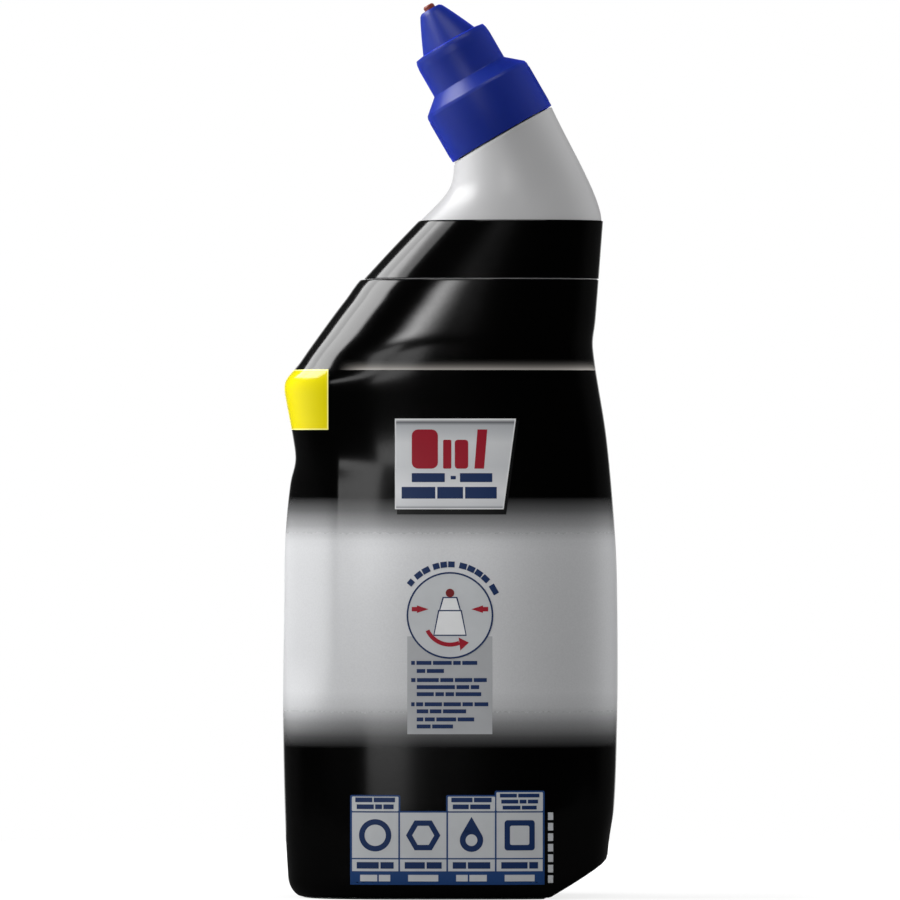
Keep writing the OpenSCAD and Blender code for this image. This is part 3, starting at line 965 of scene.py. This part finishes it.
@dataclass
class Closure:
    """The twist nozzle cap, which rides on its own body, and the two pieces inside it."""

    form: BottleForm
    shell: BottleShell
    skirt_r: float = 16.7
    skirt_h: float = 14.9
    cap_wall: float = 1.5
    collar_r: float = 11.8
    collar_z: float = 19.3
    collar_top: float = 30.9
    nozzle_r: float = 8.8
    tip_r: float = 3.3
    tip_z: float = 42.2
    outlet_h: float = 1.2
    outlet_r: float = 1.72
    lip_r: float = 9.3
    seal_z: float = 21.05
    seal_h: float = 2.9
    run_fit: float = 0.05
    rib_count: int = 9
    rib_pitch: float = 4.2
    rib_r: float = 0.4
    rib_out: float = 0.1
    rib_h: float = 11.6
    rib_z: float = 7.4
    seg: int = 192

    def nozzle_at(self, z: float) -> float:
        """Radius of the slightly bulging nozzle at the height z."""
        u = (z - self.collar_top) / (self.tip_z - self.collar_top)
        return mix(self.tip_r, self.nozzle_r, (1 - u) ** 0.91)

    def softened(self, line: Sequence[Point], cut: float) -> list[Point]:
        """Round the corners of an open line.

        Args:
            line: points of radius and height.
            cut: how far from each corner its rounding starts.

        Returns:
            The line with three points for each inner corner.
        """
        made = [line[0]]
        for before, corner, after in zip(line, line[1:], line[2:]):
            b, c, a = (np.array(p, float) for p in (before, corner, after))
            start = c + (b - c) * min(0.45, cut / np.linalg.norm(b - c))
            end = c + (a - c) * min(0.45, cut / np.linalg.norm(a - c))
            made += [tuple(start), tuple(0.25 * start + 0.5 * c + 0.25 * end), tuple(end)]
        return made + [line[-1]]

    def profile(self) -> list[Point]:
        """Closed line of the cap's section, up the outside and down the inside."""
        skirt_in, collar_in = self.skirt_r - self.cap_wall, self.collar_r - self.cap_wall
        tip_low, throat = self.tip_z - 0.6, self.tip_z - self.outlet_h
        seal_top, seal_out = self.seal_z + self.seal_h + 2 * self.run_fit, collar_in - 0.1
        outside = self.softened([
            (skirt_in, 0), (self.skirt_r, 0), (self.skirt_r, self.skirt_h - 0.4),
            (self.skirt_r - 0.35, self.skirt_h + 0.5), (self.collar_r, self.collar_z),
            (self.collar_r, self.collar_top - 3), (self.collar_r - 0.2, self.collar_top - 1.2),
            (self.collar_r - 0.6, self.collar_top), (self.nozzle_r, self.collar_top)], 0.22)
        nozzle = [(self.nozzle_at(z), z) for z in np.linspace(self.collar_top + 0.4, tip_low, 14)]
        tip = [(self.tip_r - 0.12, self.tip_z - 0.2), (self.tip_r - 0.4, self.tip_z)]
        bore = [(self.nozzle_at(z) - self.cap_wall, z)
                for z in np.linspace(throat - 1.8, self.collar_top + 0.4, 4)]
        inside = [
            (self.outlet_r, self.tip_z), (self.outlet_r, throat), *bore,
            (self.nozzle_r - self.cap_wall, self.collar_top - self.cap_wall),
            (collar_in, self.collar_top - self.cap_wall), (collar_in, seal_top + 0.8),
            (self.lip_r, seal_top + 0.6), (self.lip_r, seal_top), (seal_out, seal_top),
            (seal_out, self.seal_z), (self.lip_r, self.seal_z), (self.lip_r, self.seal_z - 0.6),
            (collar_in, self.seal_z - 0.8),
            (collar_in, self.collar_z - 0.7), (skirt_in, self.skirt_h - 0.8)]
        return outside[:-1] + nozzle + tip + inside

    def turned_tree(self) -> Tree:
        """Tree that turns a line of points into a closed body about the upright line.

        Returns:
            The tree, with the number of segments and the material as its inputs.
        """
        tree, given = new_tree("turned_body", (
            ("Segments", "NodeSocketInt"), ("Material", "NodeSocketMaterial")))
        line, segments = given.outputs["Geometry"], given.outputs["Segments"]
        count = node(tree, "GeometryNodeAttributeDomainSize", {0: line}).outputs["Point Count"]
        rows, columns = calc(tree, "ADD", count, 1.0), calc(tree, "ADD", segments, 1.0)
        grid = node(tree, "GeometryNodeMeshGrid", {"Vertices X": columns, "Vertices Y": rows})
        index = node(tree, "GeometryNodeInputIndex").outputs[0]
        column = calc(tree, "FLOOR", calc(tree, "DIVIDE", index, rows))
        row = calc(tree, "MODULO", calc(tree, "MODULO", index, rows), count)
        where = node(tree, "GeometryNodeInputPosition").outputs[0]
        spot = node(tree, "GeometryNodeSampleIndex", {0: line, "Value": where, "Index": row},
                    data_type="FLOAT_VECTOR")
        split = node(tree, "ShaderNodeSeparateXYZ", {0: spot.outputs[0]})
        angle = calc(tree, "MULTIPLY", calc(tree, "DIVIDE", column, segments), math.tau)
        turned = around(tree, angle, split.outputs["X"], split.outputs["Z"])
        moved = node(tree, "GeometryNodeSetPosition", {"Geometry": grid.outputs[0], "Position": turned})
        joined = node(tree, "GeometryNodeMergeByDistance", {"Geometry": moved.outputs[0], "Distance": 1e-6})
        close_tree(tree, joined.outputs[0], given.outputs["Material"])
        return tree

    def rib_tree(self) -> Tree:
        """Tree that stands fine grip ribs on two opposite sides of the skirt.

        Returns:
            The tree, with the ribs' count, pitch, radius and height as its inputs.
        """
        tree, given = new_tree("grip_ribs", (
            ("Count", "NodeSocketInt"), ("Pitch", "NodeSocketFloat"), ("Ring Radius", "NodeSocketFloat"),
            ("Rib Radius", "NodeSocketFloat"), ("Length", "NodeSocketFloat"), ("Height", "NodeSocketFloat"),
            ("Material", "NodeSocketMaterial")))
        ask = given.outputs
        points = node(tree, "GeometryNodePoints", {"Count": calc(tree, "MULTIPLY", ask["Count"], 2.0)})
        index = node(tree, "GeometryNodeInputIndex").outputs[0]
        side = calc(tree, "MODULO", index, 2.0)
        step = calc(tree, "FLOOR", calc(tree, "DIVIDE", index, 2.0))
        middle = calc(tree, "MULTIPLY", calc(tree, "ADD", ask["Count"], -1.0), -0.5)
        angle = calc(tree, "MULTIPLY", calc(tree, "ADD", step, middle), ask["Pitch"])
        angle = calc(tree, "MULTIPLY_ADD", side, math.pi, angle)
        spot = around(tree, angle, ask["Ring Radius"], ask["Height"])
        moved = node(tree, "GeometryNodeSetPosition", {"Geometry": points.outputs[0], "Position": spot})
        rib = node(tree, "GeometryNodeMeshCylinder", {
            "Vertices": 10, "Radius": ask["Rib Radius"], "Depth": ask["Length"]})
        set_out = node(tree, "GeometryNodeInstanceOnPoints", {
            "Points": moved.outputs[0], "Instance": rib.outputs["Mesh"]})
        close_tree(tree, set_out.outputs[0], ask["Material"])
        return tree

    def build(self) -> list[bpy.types.Object]:
        """Make the cap and its ribs, and dress the seal and the fitment of the frame.

        Returns:
            The new pieces.
        """
        blue = CAP_PLASTIC.build()
        line = bpy.data.meshes.new("cap_line")
        line.from_pydata([(r * MM, 0, z * MM) for r, z in self.profile()], [], [])
        body = run_tree(self.turned_tree(), line, {"Segments": self.seg, "Material": blue})
        body.transform(self.form.neck_matrix())
        outward(body, 1e-6)
        extra = Shell()
        skirt_in = self.skirt_r - self.cap_wall
        self.shell.ridge(extra, skirt_in + 0.4, self.form.mouth_r + self.shell.clear + 0.2,
                         self.shell.thread_z - self.shell.thread_lead / self.shell.thread_starts / 2)
        for a in (90, 270):
            self.shell.lug(extra, self.shell.lug_split + self.shell.clear / 2, skirt_in + 0.4,
                           a - self.shell.lug_arc * 1.4, self.form.root_gap + 0.6)
        work = bmesh.new()
        work.from_mesh(body)
        work.from_mesh(extra.mesh("cap_inner"))
        work.to_mesh(body)
        work.free()
        cap = place(body, "cap_body", "cap", blue, ("nozzle_cap",), sharp=30)
        ribs = run_tree(self.rib_tree(), bpy.data.meshes.new("rib_start"), {
            "Count": self.rib_count, "Pitch": math.radians(self.rib_pitch),
            "Ring Radius": (self.skirt_r - self.rib_r + self.rib_out) * MM, "Rib Radius": self.rib_r * MM,
            "Length": self.rib_h * MM, "Height": self.rib_z * MM, "Material": blue})
        ribs.transform(self.form.neck_matrix())
        outward(ribs)
        grip = place(ribs, "cap_grip_ribs", "cap", None, ("nozzle_cap",))
        for name, finish in (("plug_fitment", FITMENT_PLASTIC), ("seal_ring", SEAL_RUBBER)):
            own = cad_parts[name]
            own.data.materials.clear()
            own.data.materials.append(finish.build())
            LOG.info("%s: kept from the frame", name)
        return [cap, grip]


@dataclass
class BackPrint:
    """Print on the back of the sleeve: fields of ink, plain shapes, and bars in place of words."""

    form: BottleForm
    out: float = 0.5
    grid_x: float = 2.0
    grid_z: float = 2.0
    patches: dict = field(default_factory=dict)
    bars: dict = field(default_factory=dict)

    def field(self, ink: Ink, outline: Sequence[Point], layer: Layer) -> None:
        """Print a convex field of ink inside an outline of x and z."""
        self.patches.setdefault(ink, []).append((list(outline), layer))

    def box(self, ink: Ink, x0: float, x1: float, z0: float, z1: float, layer: Layer,
            corner: float = 0) -> None:
        """Print a field between two places across and two heights, with rounded corners."""
        if corner <= 0:
            self.field(ink, [(x0, z0), (x1, z0), (x1, z1), (x0, z1)], layer)
            return
        turns = ((x1 - corner, z0 + corner, -90), (x1 - corner, z1 - corner, 0),
                 (x0 + corner, z1 - corner, 90), (x0 + corner, z0 + corner, 180))
        spots = [(cx, cz, math.radians(a + k * 22.5)) for cx, cz, a in turns for k in range(5)]
        self.field(ink, [
            (cx + corner * math.cos(t), cz + corner * math.sin(t)) for cx, cz, t in spots], layer)

    def arc(self, ink: Ink, centre: Point, inner: float, outer: float, start: float, end: float,
            layer: Layer) -> None:
        """Print part of a ring between two radii and two angles in degrees."""
        n = max(2, int(abs(end - start) / 6))
        at = np.radians(np.linspace(start, end, n + 1))
        for a, b in zip(at, at[1:]):
            self.field(ink, [
                (centre[0] + r * math.cos(t), centre[1] + r * math.sin(t))
                for r, t in ((inner, a), (outer, a), (outer, b), (inner, b))], layer)

    def disc(self, ink: Ink, centre: Point, r: float, layer: Layer, sides: int = 48) -> None:
        """Print a disc, or a polygon of few sides."""
        turns = [math.tau * k / sides for k in range(sides)]
        self.field(ink, [(centre[0] + r * math.cos(t), centre[1] + r * math.sin(t)) for t in turns], layer)

    def bar(self, ink: Ink, x0: float, x1: float, z: float, height: float, layer: Layer,
            turn: float = 0) -> None:
        """Print one bar in place of a word, from x0 to x1 about the height z, turned in degrees."""
        self.bars.setdefault((ink, layer), []).append(((x0 + x1) / 2, z, x1 - x0, height, turn))

    def words(self, ink: Ink, x0: float, x1: float, z: float, height: float, layer: Layer,
              lengths: Sequence[float], gap: float = 0.45) -> None:
        """Print a line of bars whose lengths share the width between x0 and x1."""
        room = (x1 - x0) - gap * (len(lengths) - 1)
        scale = room / sum(lengths)
        x = x0
        for length in lengths:
            self.bar(ink, x, x + length * scale, z, height, layer)
            x += length * scale + gap

    def badge(self) -> None:
        """Lay out the silver badge with its red shapes and two navy lines."""
        self.field(Ink.BLACK, [(-15.5, 112.1), (16.2, 112.1), (20.0, 139.4), (-15.5, 139.4)], Layer.GROUND)
        self.field(Ink.WHITE, [(-16.1, 113.6), (15.5, 113.6), (19.1, 139.95), (-16.1, 139.95)], Layer.FIELD)
        self.field(Ink.BADGE, [(-15.75, 113.9), (15.2, 113.9), (18.7, 139.65), (-15.75, 139.65)], Layer.LINE)
        self.box(Ink.RED, -11.2, -3.6, 125.4, 136.8, Layer.TOP, 1.8)
        self.box(Ink.RED, -2.1, 0.3, 125.4, 133.8, Layer.TOP, 0.4)
        self.box(Ink.RED, 1.3, 5.2, 125.4, 133.8, Layer.TOP, 0.9)
        self.field(Ink.RED, [(7.0, 125.4), (9.8, 125.4), (10.75, 136.8), (7.9, 136.8)], Layer.TOP)
        self.words(Ink.NAVY, -11.2, -1.6, 122.8, 2.6, Layer.TOP, (1,))
        self.bar(Ink.NAVY, 0.1, 1.6, 122.8, 1.0, Layer.TOP)
        self.words(Ink.NAVY, 2.8, 12.2, 122.8, 2.6, Layer.TOP, (1,))
        self.words(Ink.NAVY, -14.15, 13.5, 118.4, 3.4, Layer.TOP, (3.4, 2.6, 3.2), 0.6)

    def ring(self) -> None:
        """Lay out the ring with the sign for opening the cap, and the arc of dashes over it."""
        c = (-0.1, 82.8)
        self.disc(Ink.PALE, c, 12.4, Layer.LINE)
        self.arc(Ink.NAVY, c, 12.1, 12.6, 0, 360, Layer.TOP)
        for start, end in ((144, 136), (133, 113), (110, 84), (80, 41), (37, 24)):
            n = max(1, round((start - end) / 9))
            step = (start - end) / n
            for k in range(n):
                a = start - step * (k + 0.5)
                t = math.radians(a)
                width = 14.8 * math.radians(step) - 0.35
                x, z = c[0] + 14.8 * math.cos(t), c[1] + 14.8 * math.sin(t)
                self.bar(Ink.NAVY, x - width / 2, x + width / 2, z, 1.7, Layer.LINE, a - 90)
        for ink, grow, layer in ((Ink.NAVY, 0.35, Layer.TOP), (Ink.WHITE, 0.0, Layer.MARK)):
            self.field(ink, [(-4.6 - grow, 77.2 - grow), (4.4 + grow, 77.2 - grow), (3.0 + grow, 84.0 + grow),
                             (-3.2 - grow, 84.0 + grow)], layer)
            self.field(ink, [(-2.9 - grow, 84.4), (2.7 + grow, 84.4), (1.7 + grow, 87.8 + grow),
                             (-1.9 - grow, 87.8 + grow)], layer)
        self.disc(Ink.BRICK, (-0.1, 89.3), 1.25, Layer.MARK, 24)
        for side in (-1, 1):
            x = c[0] + side * 6.2
            self.field(Ink.RED, [(x, 84.6), (x + side * 3.4, 85.7), (x + side * 3.4, 83.5)], Layer.TOP)
            self.box(Ink.RED, min(x + side * 3.2, x + side * 4.9), max(x + side * 3.2, x + side * 4.9),
                     83.95, 85.25, Layer.TOP)
        self.arc(Ink.RED, (-0.1, 81.5), 6.6, 7.8, 205, 292, Layer.TOP)
        self.field(Ink.RED, [(2.4, 76.4), (5.4, 74.9), (2.9, 72.6)], Layer.TOP)

    def panel(self) -> None:
        """Lay out the grey panel with nine lines of bars."""
        self.box(Ink.GREY, -12.5, 12.2, 48.3, 76.7, Layer.GROUND)
        rows = (
            (661, 411.5, 477, (1, 4, 5, 2, 4)), (669, 417, 444, (2, 4)), (678, 411.5, 486.5, (1, 5, 3, 4, 3)),
            (685, 417, 479, (9, 3, 2)), (692, 417, 481, (4, 2, 2, 6)), (702, 411.5, 488, (1, 2, 5, 5, 3, 4)),
            (709, 417, 466, (3, 3, 6)), (717, 417, 474, (2, 3, 6, 5)), (724, 417, 453, (4, 6)))
        for y, x0, x1, lengths in rows:
            (left, z), (right, _) = at_px(x0, y), at_px(x1, y)
            self.words(Ink.NAVY, left, right, z, 1.15, Layer.FIELD, lengths)

    def foot(self) -> None:
        """Lay out the row of four cells near the base, with their tabs and the side strip."""
        edges = (-28.8, -14.85, -0.9, 13.2, 27.1)
        tabs = (30.35, 0, 30.35, 31.6)
        self.box(Ink.BLUE, edges[0] - 0.3, edges[-1] + 0.3, 4.5, 25.95, Layer.GROUND)
        for k, (x0, x1) in enumerate(zip(edges, edges[1:])):
            if tabs[k]:
                self.box(Ink.BLUE, x0 - 0.3, x1 + 0.3, 25.4, tabs[k] + 0.25, Layer.GROUND, 0.5)
                self.box(Ink.PALE, x0 + 0.2, x1 - 0.2, 25.9, tabs[k] - 0.2, Layer.FIELD, 0.3)
                rows, pitch, height = (3, 1.75, 1.1) if tabs[k] > 31 else (2, 2.0, 1.35)
                for j in range(rows):
                    inset, z = 1.2 + 0.4 * j, tabs[k] - 1.15 - j * pitch
                    self.words(Ink.NAVY, x0 + inset, x1 - inset, z, height, Layer.LINE,
                               ((4, 5), (5, 2, 3), (6, 5))[(k + j) % 3], 0.4)
            self.box(Ink.PALE, x0 + 0.25, x1 - 0.25, 12.3, 25.5, Layer.FIELD)
            self.box(Ink.PALE, x0 + 0.25, x1 - 0.25, 8.45, 11.9, Layer.FIELD)
            self.words(Ink.NAVY, x0 + 1.6, x1 - 1.6, 10.15, 1.9, Layer.LINE,
                       ((5, 3), (4, 3), (3, 5), (6, 2))[k], 0.5)
            self.words(Ink.PALE, x0 + 2.6, x1 - 2.6, 6.45, 1.9, Layer.FIELD,
                       ((3, 2), (4,), (2, 3), (5,))[k], 0.5)
            self.icon(k, ((x0 + x1) / 2, 18.9))
        for k in range(7):
            self.bar(Ink.PALE, 28.05, 30.25, 24.4 - k * 3.05, 1.5, Layer.GROUND, 90)

    def icon(self, kind: int, c: Point) -> None:
        """Print one plain sign: a ring, a hexagon, a drop or a square, in navy."""
        if kind == 0:
            self.arc(Ink.NAVY, c, 3.1, 4.7, 0, 360, Layer.LINE)
        elif kind == 1:
            self.disc(Ink.NAVY, c, 5.0, Layer.LINE, 6)
            self.disc(Ink.PALE, c, 3.2, Layer.TOP, 6)
        elif kind == 2:
            self.disc(Ink.NAVY, (c[0], c[1] - 1.4), 3.4, Layer.LINE)
            self.field(Ink.NAVY, [(c[0] - 2.95, c[1] + 0.3), (c[0] + 2.95, c[1] + 0.3), (c[0], c[1] + 5.4)],
                       Layer.LINE)
            self.disc(Ink.PALE, (c[0], c[1] - 1.4), 1.7, Layer.TOP)
        else:
            self.box(Ink.NAVY, c[0] - 4.4, c[0] + 4.4, c[1] - 4.4, c[1] + 4.4, Layer.LINE, 0.9)
            self.box(Ink.PALE, c[0] - 2.8, c[0] + 2.8, c[1] - 2.8, c[1] + 2.8, Layer.TOP, 0.5)

    def drape(self, shell: Shell, outline: Sequence[Point], layer: Layer) -> None:
        """Lay one field on the film as a thin closed patch.

        Args:
            shell: the mesh to add it to.
            outline: the convex outline as x and z.
            layer: how far its face stands off the film.
        """
        work = bmesh.new()
        work.faces.new([work.verts.new((x, 0, z)) for x, z in outline])
        xs, zs = [p[0] for p in outline], [p[1] for p in outline]
        for low, high, step, axis in ((min(xs), max(xs), self.grid_x, 0), (min(zs), max(zs), self.grid_z, 2)):
            for cut in np.arange(math.floor(low / step) + 1, math.ceil(high / step)) * step:
                spot, normal = [0.0, 0.0, 0.0], [0.0, 0.0, 0.0]
                spot[axis], normal[axis] = cut, 1.0
                bmesh.ops.bisect_plane(work, geom=work.verts[:] + work.edges[:] + work.faces[:], dist=1e-5,
                                       plane_co=spot, plane_no=normal)
        work.verts.index_update()
        n = len(work.verts)
        x = np.array([v.co.x for v in work.verts])
        z = np.array([v.co.z for v in work.verts])
        front = self.form.back_y(x, z, self.out) - layer.value
        rear = front + layer.value + 0.02
        rim = {frozenset(v.index for v in e.verts) for e in work.edges if e.is_boundary}
        faces = []
        for f in work.faces:
            f.normal_update()
            ids = [v.index for v in f.verts]
            if f.normal.y > 0:
                ids.reverse()
            faces += [ids, [i + n for i in reversed(ids)]]
            pairs = zip(ids, ids[1:] + ids[:1])
            faces += [[b, a, a + n, b + n] for a, b in pairs if frozenset((a, b)) in rim]
        shell.add(np.concatenate([np.stack([x, front, z], 1), np.stack([x, rear, z], 1)]), faces)
        work.free()

    def bar_tree(self) -> Tree:
        """Tree that sets a bar on each point, sized and turned by the point's attributes.

        Returns:
            The tree, with the material as its input.
        """
        tree, given = new_tree("word_bars", (
            ("Columns", "NodeSocketInt"), ("Material", "NodeSocketMaterial")))
        cube = node(tree, "GeometryNodeMeshCube", {"Size": (1, 1, 1), "Vertices X": given.outputs["Columns"]})
        size = node(tree, "GeometryNodeInputNamedAttribute", {"Name": "bar_size"}, data_type="FLOAT_VECTOR")
        turn = node(tree, "GeometryNodeInputNamedAttribute", {"Name": "bar_turn"}, data_type="FLOAT_VECTOR")
        set_out = node(tree, "GeometryNodeInstanceOnPoints", {
            "Points": given.outputs["Geometry"], "Instance": cube.outputs["Mesh"],
            "Rotation": turn.outputs[0], "Scale": size.outputs[0]})
        close_tree(tree, set_out.outputs[0], given.outputs["Material"])
        return tree

    def bar_mesh(self, tree: Tree, rows: Sequence[tuple], layer: Layer,
                 material: Material) -> Mesh:
        """Make the bars of one ink and lay them on the film.

        Args:
            tree: the tree that sets out the bars.
            rows: each bar's middle, width, height and turn.
            layer: how far their faces stand off the film.
            material: the ink.

        Returns:
            The plain mesh.
        """
        start = bpy.data.meshes.new("bar_points")
        start.from_pydata([(x * MM, 0, z * MM) for x, z, *_ in rows], [], [])
        size = start.attributes.new("bar_size", "FLOAT_VECTOR", "POINT")
        turn = start.attributes.new("bar_turn", "FLOAT_VECTOR", "POINT")
        for k, (_, _, width, height, angle) in enumerate(rows):
            size.data[k].vector = (width * MM, MM, height * MM)
            turn.data[k].vector = (0, -math.radians(angle), 0)
        made = run_tree(tree, start, {"Columns": 6, "Material": material})
        at = np.array([v.co for v in made.vertices]) / MM
        face = self.form.back_y(at[:, 0], at[:, 2], self.out)
        at[:, 1] = np.where(at[:, 1] < 0, face - layer.value, face + 0.02)
        made.vertices.foreach_set("co", (at * MM).astype(np.float32).ravel())
        made.update()
        return made

    def build(self) -> list[bpy.types.Object]:
        """Make all of the print.

        Returns:
            One piece for the fields of each ink and one for its bars.
        """
        self.badge()
        self.ring()
        self.panel()
        self.foot()
        inks = {ink: ink.value.build() for ink in Ink}
        made = []
        for ink, rows in self.patches.items():
            shell = Shell()
            for outline, layer in rows:
                self.drape(shell, outline, layer)
            made.append(place(shell.mesh("fields"), f"print_{ink.name.lower()}_fields", "bottle_body",
                              inks[ink]))
        tree = self.bar_tree()
        for (ink, layer), rows in self.bars.items():
            mesh = self.bar_mesh(tree, rows, layer, inks[ink])
            made.append(place(mesh, f"print_{ink.name.lower()}_bars_{layer.name.lower()}", "bottle_body"))
        return made


@dataclass(frozen=True)
class Softbox:
    """A flat rectangular lamp that faces the bottle, given by the angles that it fills."""

    name: str
    azimuth: float
    elevation: float
    wide: float
    high: float
    radiance: float
    fade: float = 0.0
    mirrored: bool = True
    distance: float = 6.0
    aim_z: float = 0.13

    def build(self) -> None:
        """Hang the lamp at its azimuth, measured to the left of the camera, and aim it."""
        a, e = math.radians(self.azimuth), math.radians(self.elevation)
        away = Vector((-math.sin(a) * math.cos(e), -math.cos(a) * math.cos(e), math.sin(e)))
        lamp = bpy.data.lights.new(self.name, "AREA")
        lamp.shape = "RECTANGLE"
        lamp.size, lamp.size_y = (
            2 * self.distance * math.tan(math.radians(angle / 2)) for angle in (self.wide, self.high))
        lamp.energy = self.radiance * math.pi * lamp.size * lamp.size_y
        if self.fade:
            self.soften(lamp)
        made = bpy.data.objects.new(self.name, lamp)
        made.location = Vector((0, 0, self.aim_z)) + away * self.distance
        made.rotation_mode = "QUATERNION"
        made.rotation_quaternion = (-away).to_track_quat("-Z", "Y")
        made.visible_camera = False
        made.visible_glossy = self.mirrored
        bpy.context.scene.collection.objects.link(made)
        LOG.info("lamp %s: %.1f W", self.name, lamp.energy)

    def soften(self, lamp: bpy.types.AreaLight) -> None:
        """Let the lamp's brightness fall off towards its edges.

        Args:
            lamp: the lamp's data.
        """
        lamp.use_nodes = True
        tree = lamp.node_tree
        tree.nodes.clear()
        place_on = node(tree, "ShaderNodeNewGeometry").outputs["Parametric"]
        split = node(tree, "ShaderNodeSeparateXYZ", {0: place_on}).outputs
        level = 1.0
        for axis in (split["X"], split["Y"]):
            off = calc(tree, "ABSOLUTE", calc(tree, "SUBTRACT", axis, 0.5))
            edge = remap(tree, off, (0.5, 0.5 - self.fade / 2), interpolation_type="SMOOTHSTEP")
            level = calc(tree, "MULTIPLY", edge, level)
        glow = node(tree, "ShaderNodeEmission", {"Color": PURE, "Strength": level})
        node(tree, "ShaderNodeOutputLight", {"Surface": glow.outputs[0]})


@dataclass(frozen=True)
class Glow:
    """A broad patch of pale wall that lights the bottle without being mirrored in it."""

    toward: tuple[float, float, float]
    strength: float
    power: float = 4.0


@dataclass
class Studio:
    """The camera of the photograph, the pale surroundings and the soft lamps."""

    sensor_mm: float = 36
    middle_px: float = 450
    distance: float = 3.0
    floor_edges: tuple[float, float, float, float] = (-0.36, -0.24, 0.36, 0.42)
    ambient: float = 0.16
    dusk: float = 0.035
    glows: tuple[Glow, ...] = (
        Glow((-0.93, 0.20, -0.30), 5.6),
        Glow((0.95, 0.30, 0.0), 1.8),
    )
    lamps: tuple[Softbox, ...] = (
        Softbox("front_low_softbox", 8.8, -0.4, 11.5, 7, 1.9),
        Softbox("front_softbox", 27.5, 6.5, 31, 6.5, 2.1),
        Softbox("shoulder_softbox", 11, 17.5, 22, 13, 11.0, 1.0),
        Softbox("side_softbox", 99, 39, 60, 21, 5.6),
        Softbox("side_key_softbox", 84, 39, 32, 24, 3.0),
        Softbox("right_rim_softbox", -118, 20, 70, 50, 1.3, mirrored=False),
        Softbox("high_key_softbox", -10, 62, 44, 22, 2.3),
    )

    def camera(self) -> None:
        """Set the camera level at the photograph's middle, with its long lens."""
        data = bpy.data.cameras.new("camera")
        data.sensor_width = self.sensor_mm
        data.lens = self.sensor_mm * self.distance / (2 * self.middle_px * PIXEL_MM * MM)
        made = bpy.data.objects.new("camera", data)
        x, z = at_px(self.middle_px, self.middle_px)
        made.location = (x * MM, -self.distance, z * MM)
        made.rotation_euler = (math.pi / 2, 0, 0)
        bpy.context.scene.collection.objects.link(made)
        bpy.context.scene.camera = made

    def surroundings(self) -> None:
        """Make the world: white to the camera, dim to the object, with a pale wall behind it."""
        world = bpy.data.worlds.new("studio")
        bpy.context.scene.world = world
        world.use_nodes = True
        tree = world.node_tree
        tree.nodes.clear()
        rays = node(tree, "ShaderNodeLightPath").outputs
        way = node(tree, "ShaderNodeTexCoord").outputs["Generated"]
        back = node(tree, "ShaderNodeSeparateXYZ", {0: way}).outputs["Y"]
        dusk = remap(tree, back, (-0.2, 0.2), (0.0, self.dusk))
        wall = calc(tree, "MAXIMUM", remap(tree, back, (0.95, 0.99)), dusk)
        mirror = calc(tree, "MAXIMUM", rays["Is Glossy Ray"], rays["Is Transmission Ray"])
        mirror = calc(tree, "MULTIPLY", mirror, wall)
        soft = self.ambient
        for glow in self.glows:
            side = node(tree, "ShaderNodeVectorMath", {0: way, 1: glow.toward}, operation="DOT_PRODUCT")
            side = calc(tree, "POWER", calc(tree, "MAXIMUM", side.outputs["Value"], 0.0), glow.power)
            soft = calc(tree, "MULTIPLY_ADD", side, glow.strength, soft)
        soft = calc(tree, "MULTIPLY", rays["Is Diffuse Ray"], soft)
        level = calc(tree, "MAXIMUM", calc(tree, "MAXIMUM", mirror, rays["Is Camera Ray"]), soft)
        light = node(tree, "ShaderNodeBackground", {"Color": PURE, "Strength": level})
        node(tree, "ShaderNodeOutputWorld", {"Surface": light.outputs[0]})

    def floor(self) -> None:
        """Lay the pale floor, which stays white to the camera outside the bottle's soft shadow."""
        mesh = bpy.data.meshes.new("floor")
        x0, y0, x1, y1 = self.floor_edges
        mesh.from_pydata([(x0, y0, 0), (x1, y0, 0), (x1, y1, 0), (x0, y1, 0)], [], [(0, 1, 2, 3)])
        material = bpy.data.materials.new("pale_floor")
        material.use_nodes = True
        tree = material.node_tree
        tree.nodes.clear()
        spot = node(tree, "ShaderNodeTexCoord").outputs["Object"]
        away = node(tree, "ShaderNodeVectorMath", {0: spot}, operation="LENGTH")
        far = remap(tree, away.outputs["Value"], (0.1, 0.24), (0.78, 1.0))
        rays = node(tree, "ShaderNodeLightPath").outputs
        tone = mixed(tree, rays["Is Glossy Ray"], linear("#858585"), linear("#303030"))
        plain = node(tree, "ShaderNodeBsdfDiffuse", {"Color": tone})
        glow = node(tree, "ShaderNodeEmission", {
            "Color": PURE, "Strength": calc(tree, "MULTIPLY", rays["Is Camera Ray"], far)})
        both = node(tree, "ShaderNodeAddShader", {0: plain.outputs[0], 1: glow.outputs[0]})
        node(tree, "ShaderNodeOutputMaterial", {"Surface": both.outputs[0]})
        mesh.materials.append(material)
        made = bpy.data.objects.new("floor", mesh)
        bpy.context.scene.collection.objects.link(made)

    def build(self) -> None:
        """Set up the camera, the surroundings, the floor and the lamps."""
        self.camera()
        self.surroundings()
        self.floor()
        for lamp in self.lamps:
            lamp.build()
        bpy.context.scene.view_settings.view_transform = "Standard"


def main() -> None:
    """Build the studio and the bottle in order."""
    logging.basicConfig(level=logging.INFO, format="%(name)s: %(message)s")
    Studio().build()
    form = BottleForm()
    shell = BottleShell(form)
    shell.build()
    FilmSleeve(form, "shoulder_film", 180.9, 197.9, 0.0, "band_film", "shoulder_band", BAND_FILM).build()
    FilmSleeve(form, "main_film", 0.5, 180.6, 0.9, "sleeve_film", "sleeve_label", SLEEVE_FILM).build()
    Closure(form, shell).build()
    BackPrint(form).build()


if __name__ == "__main__":
    main()
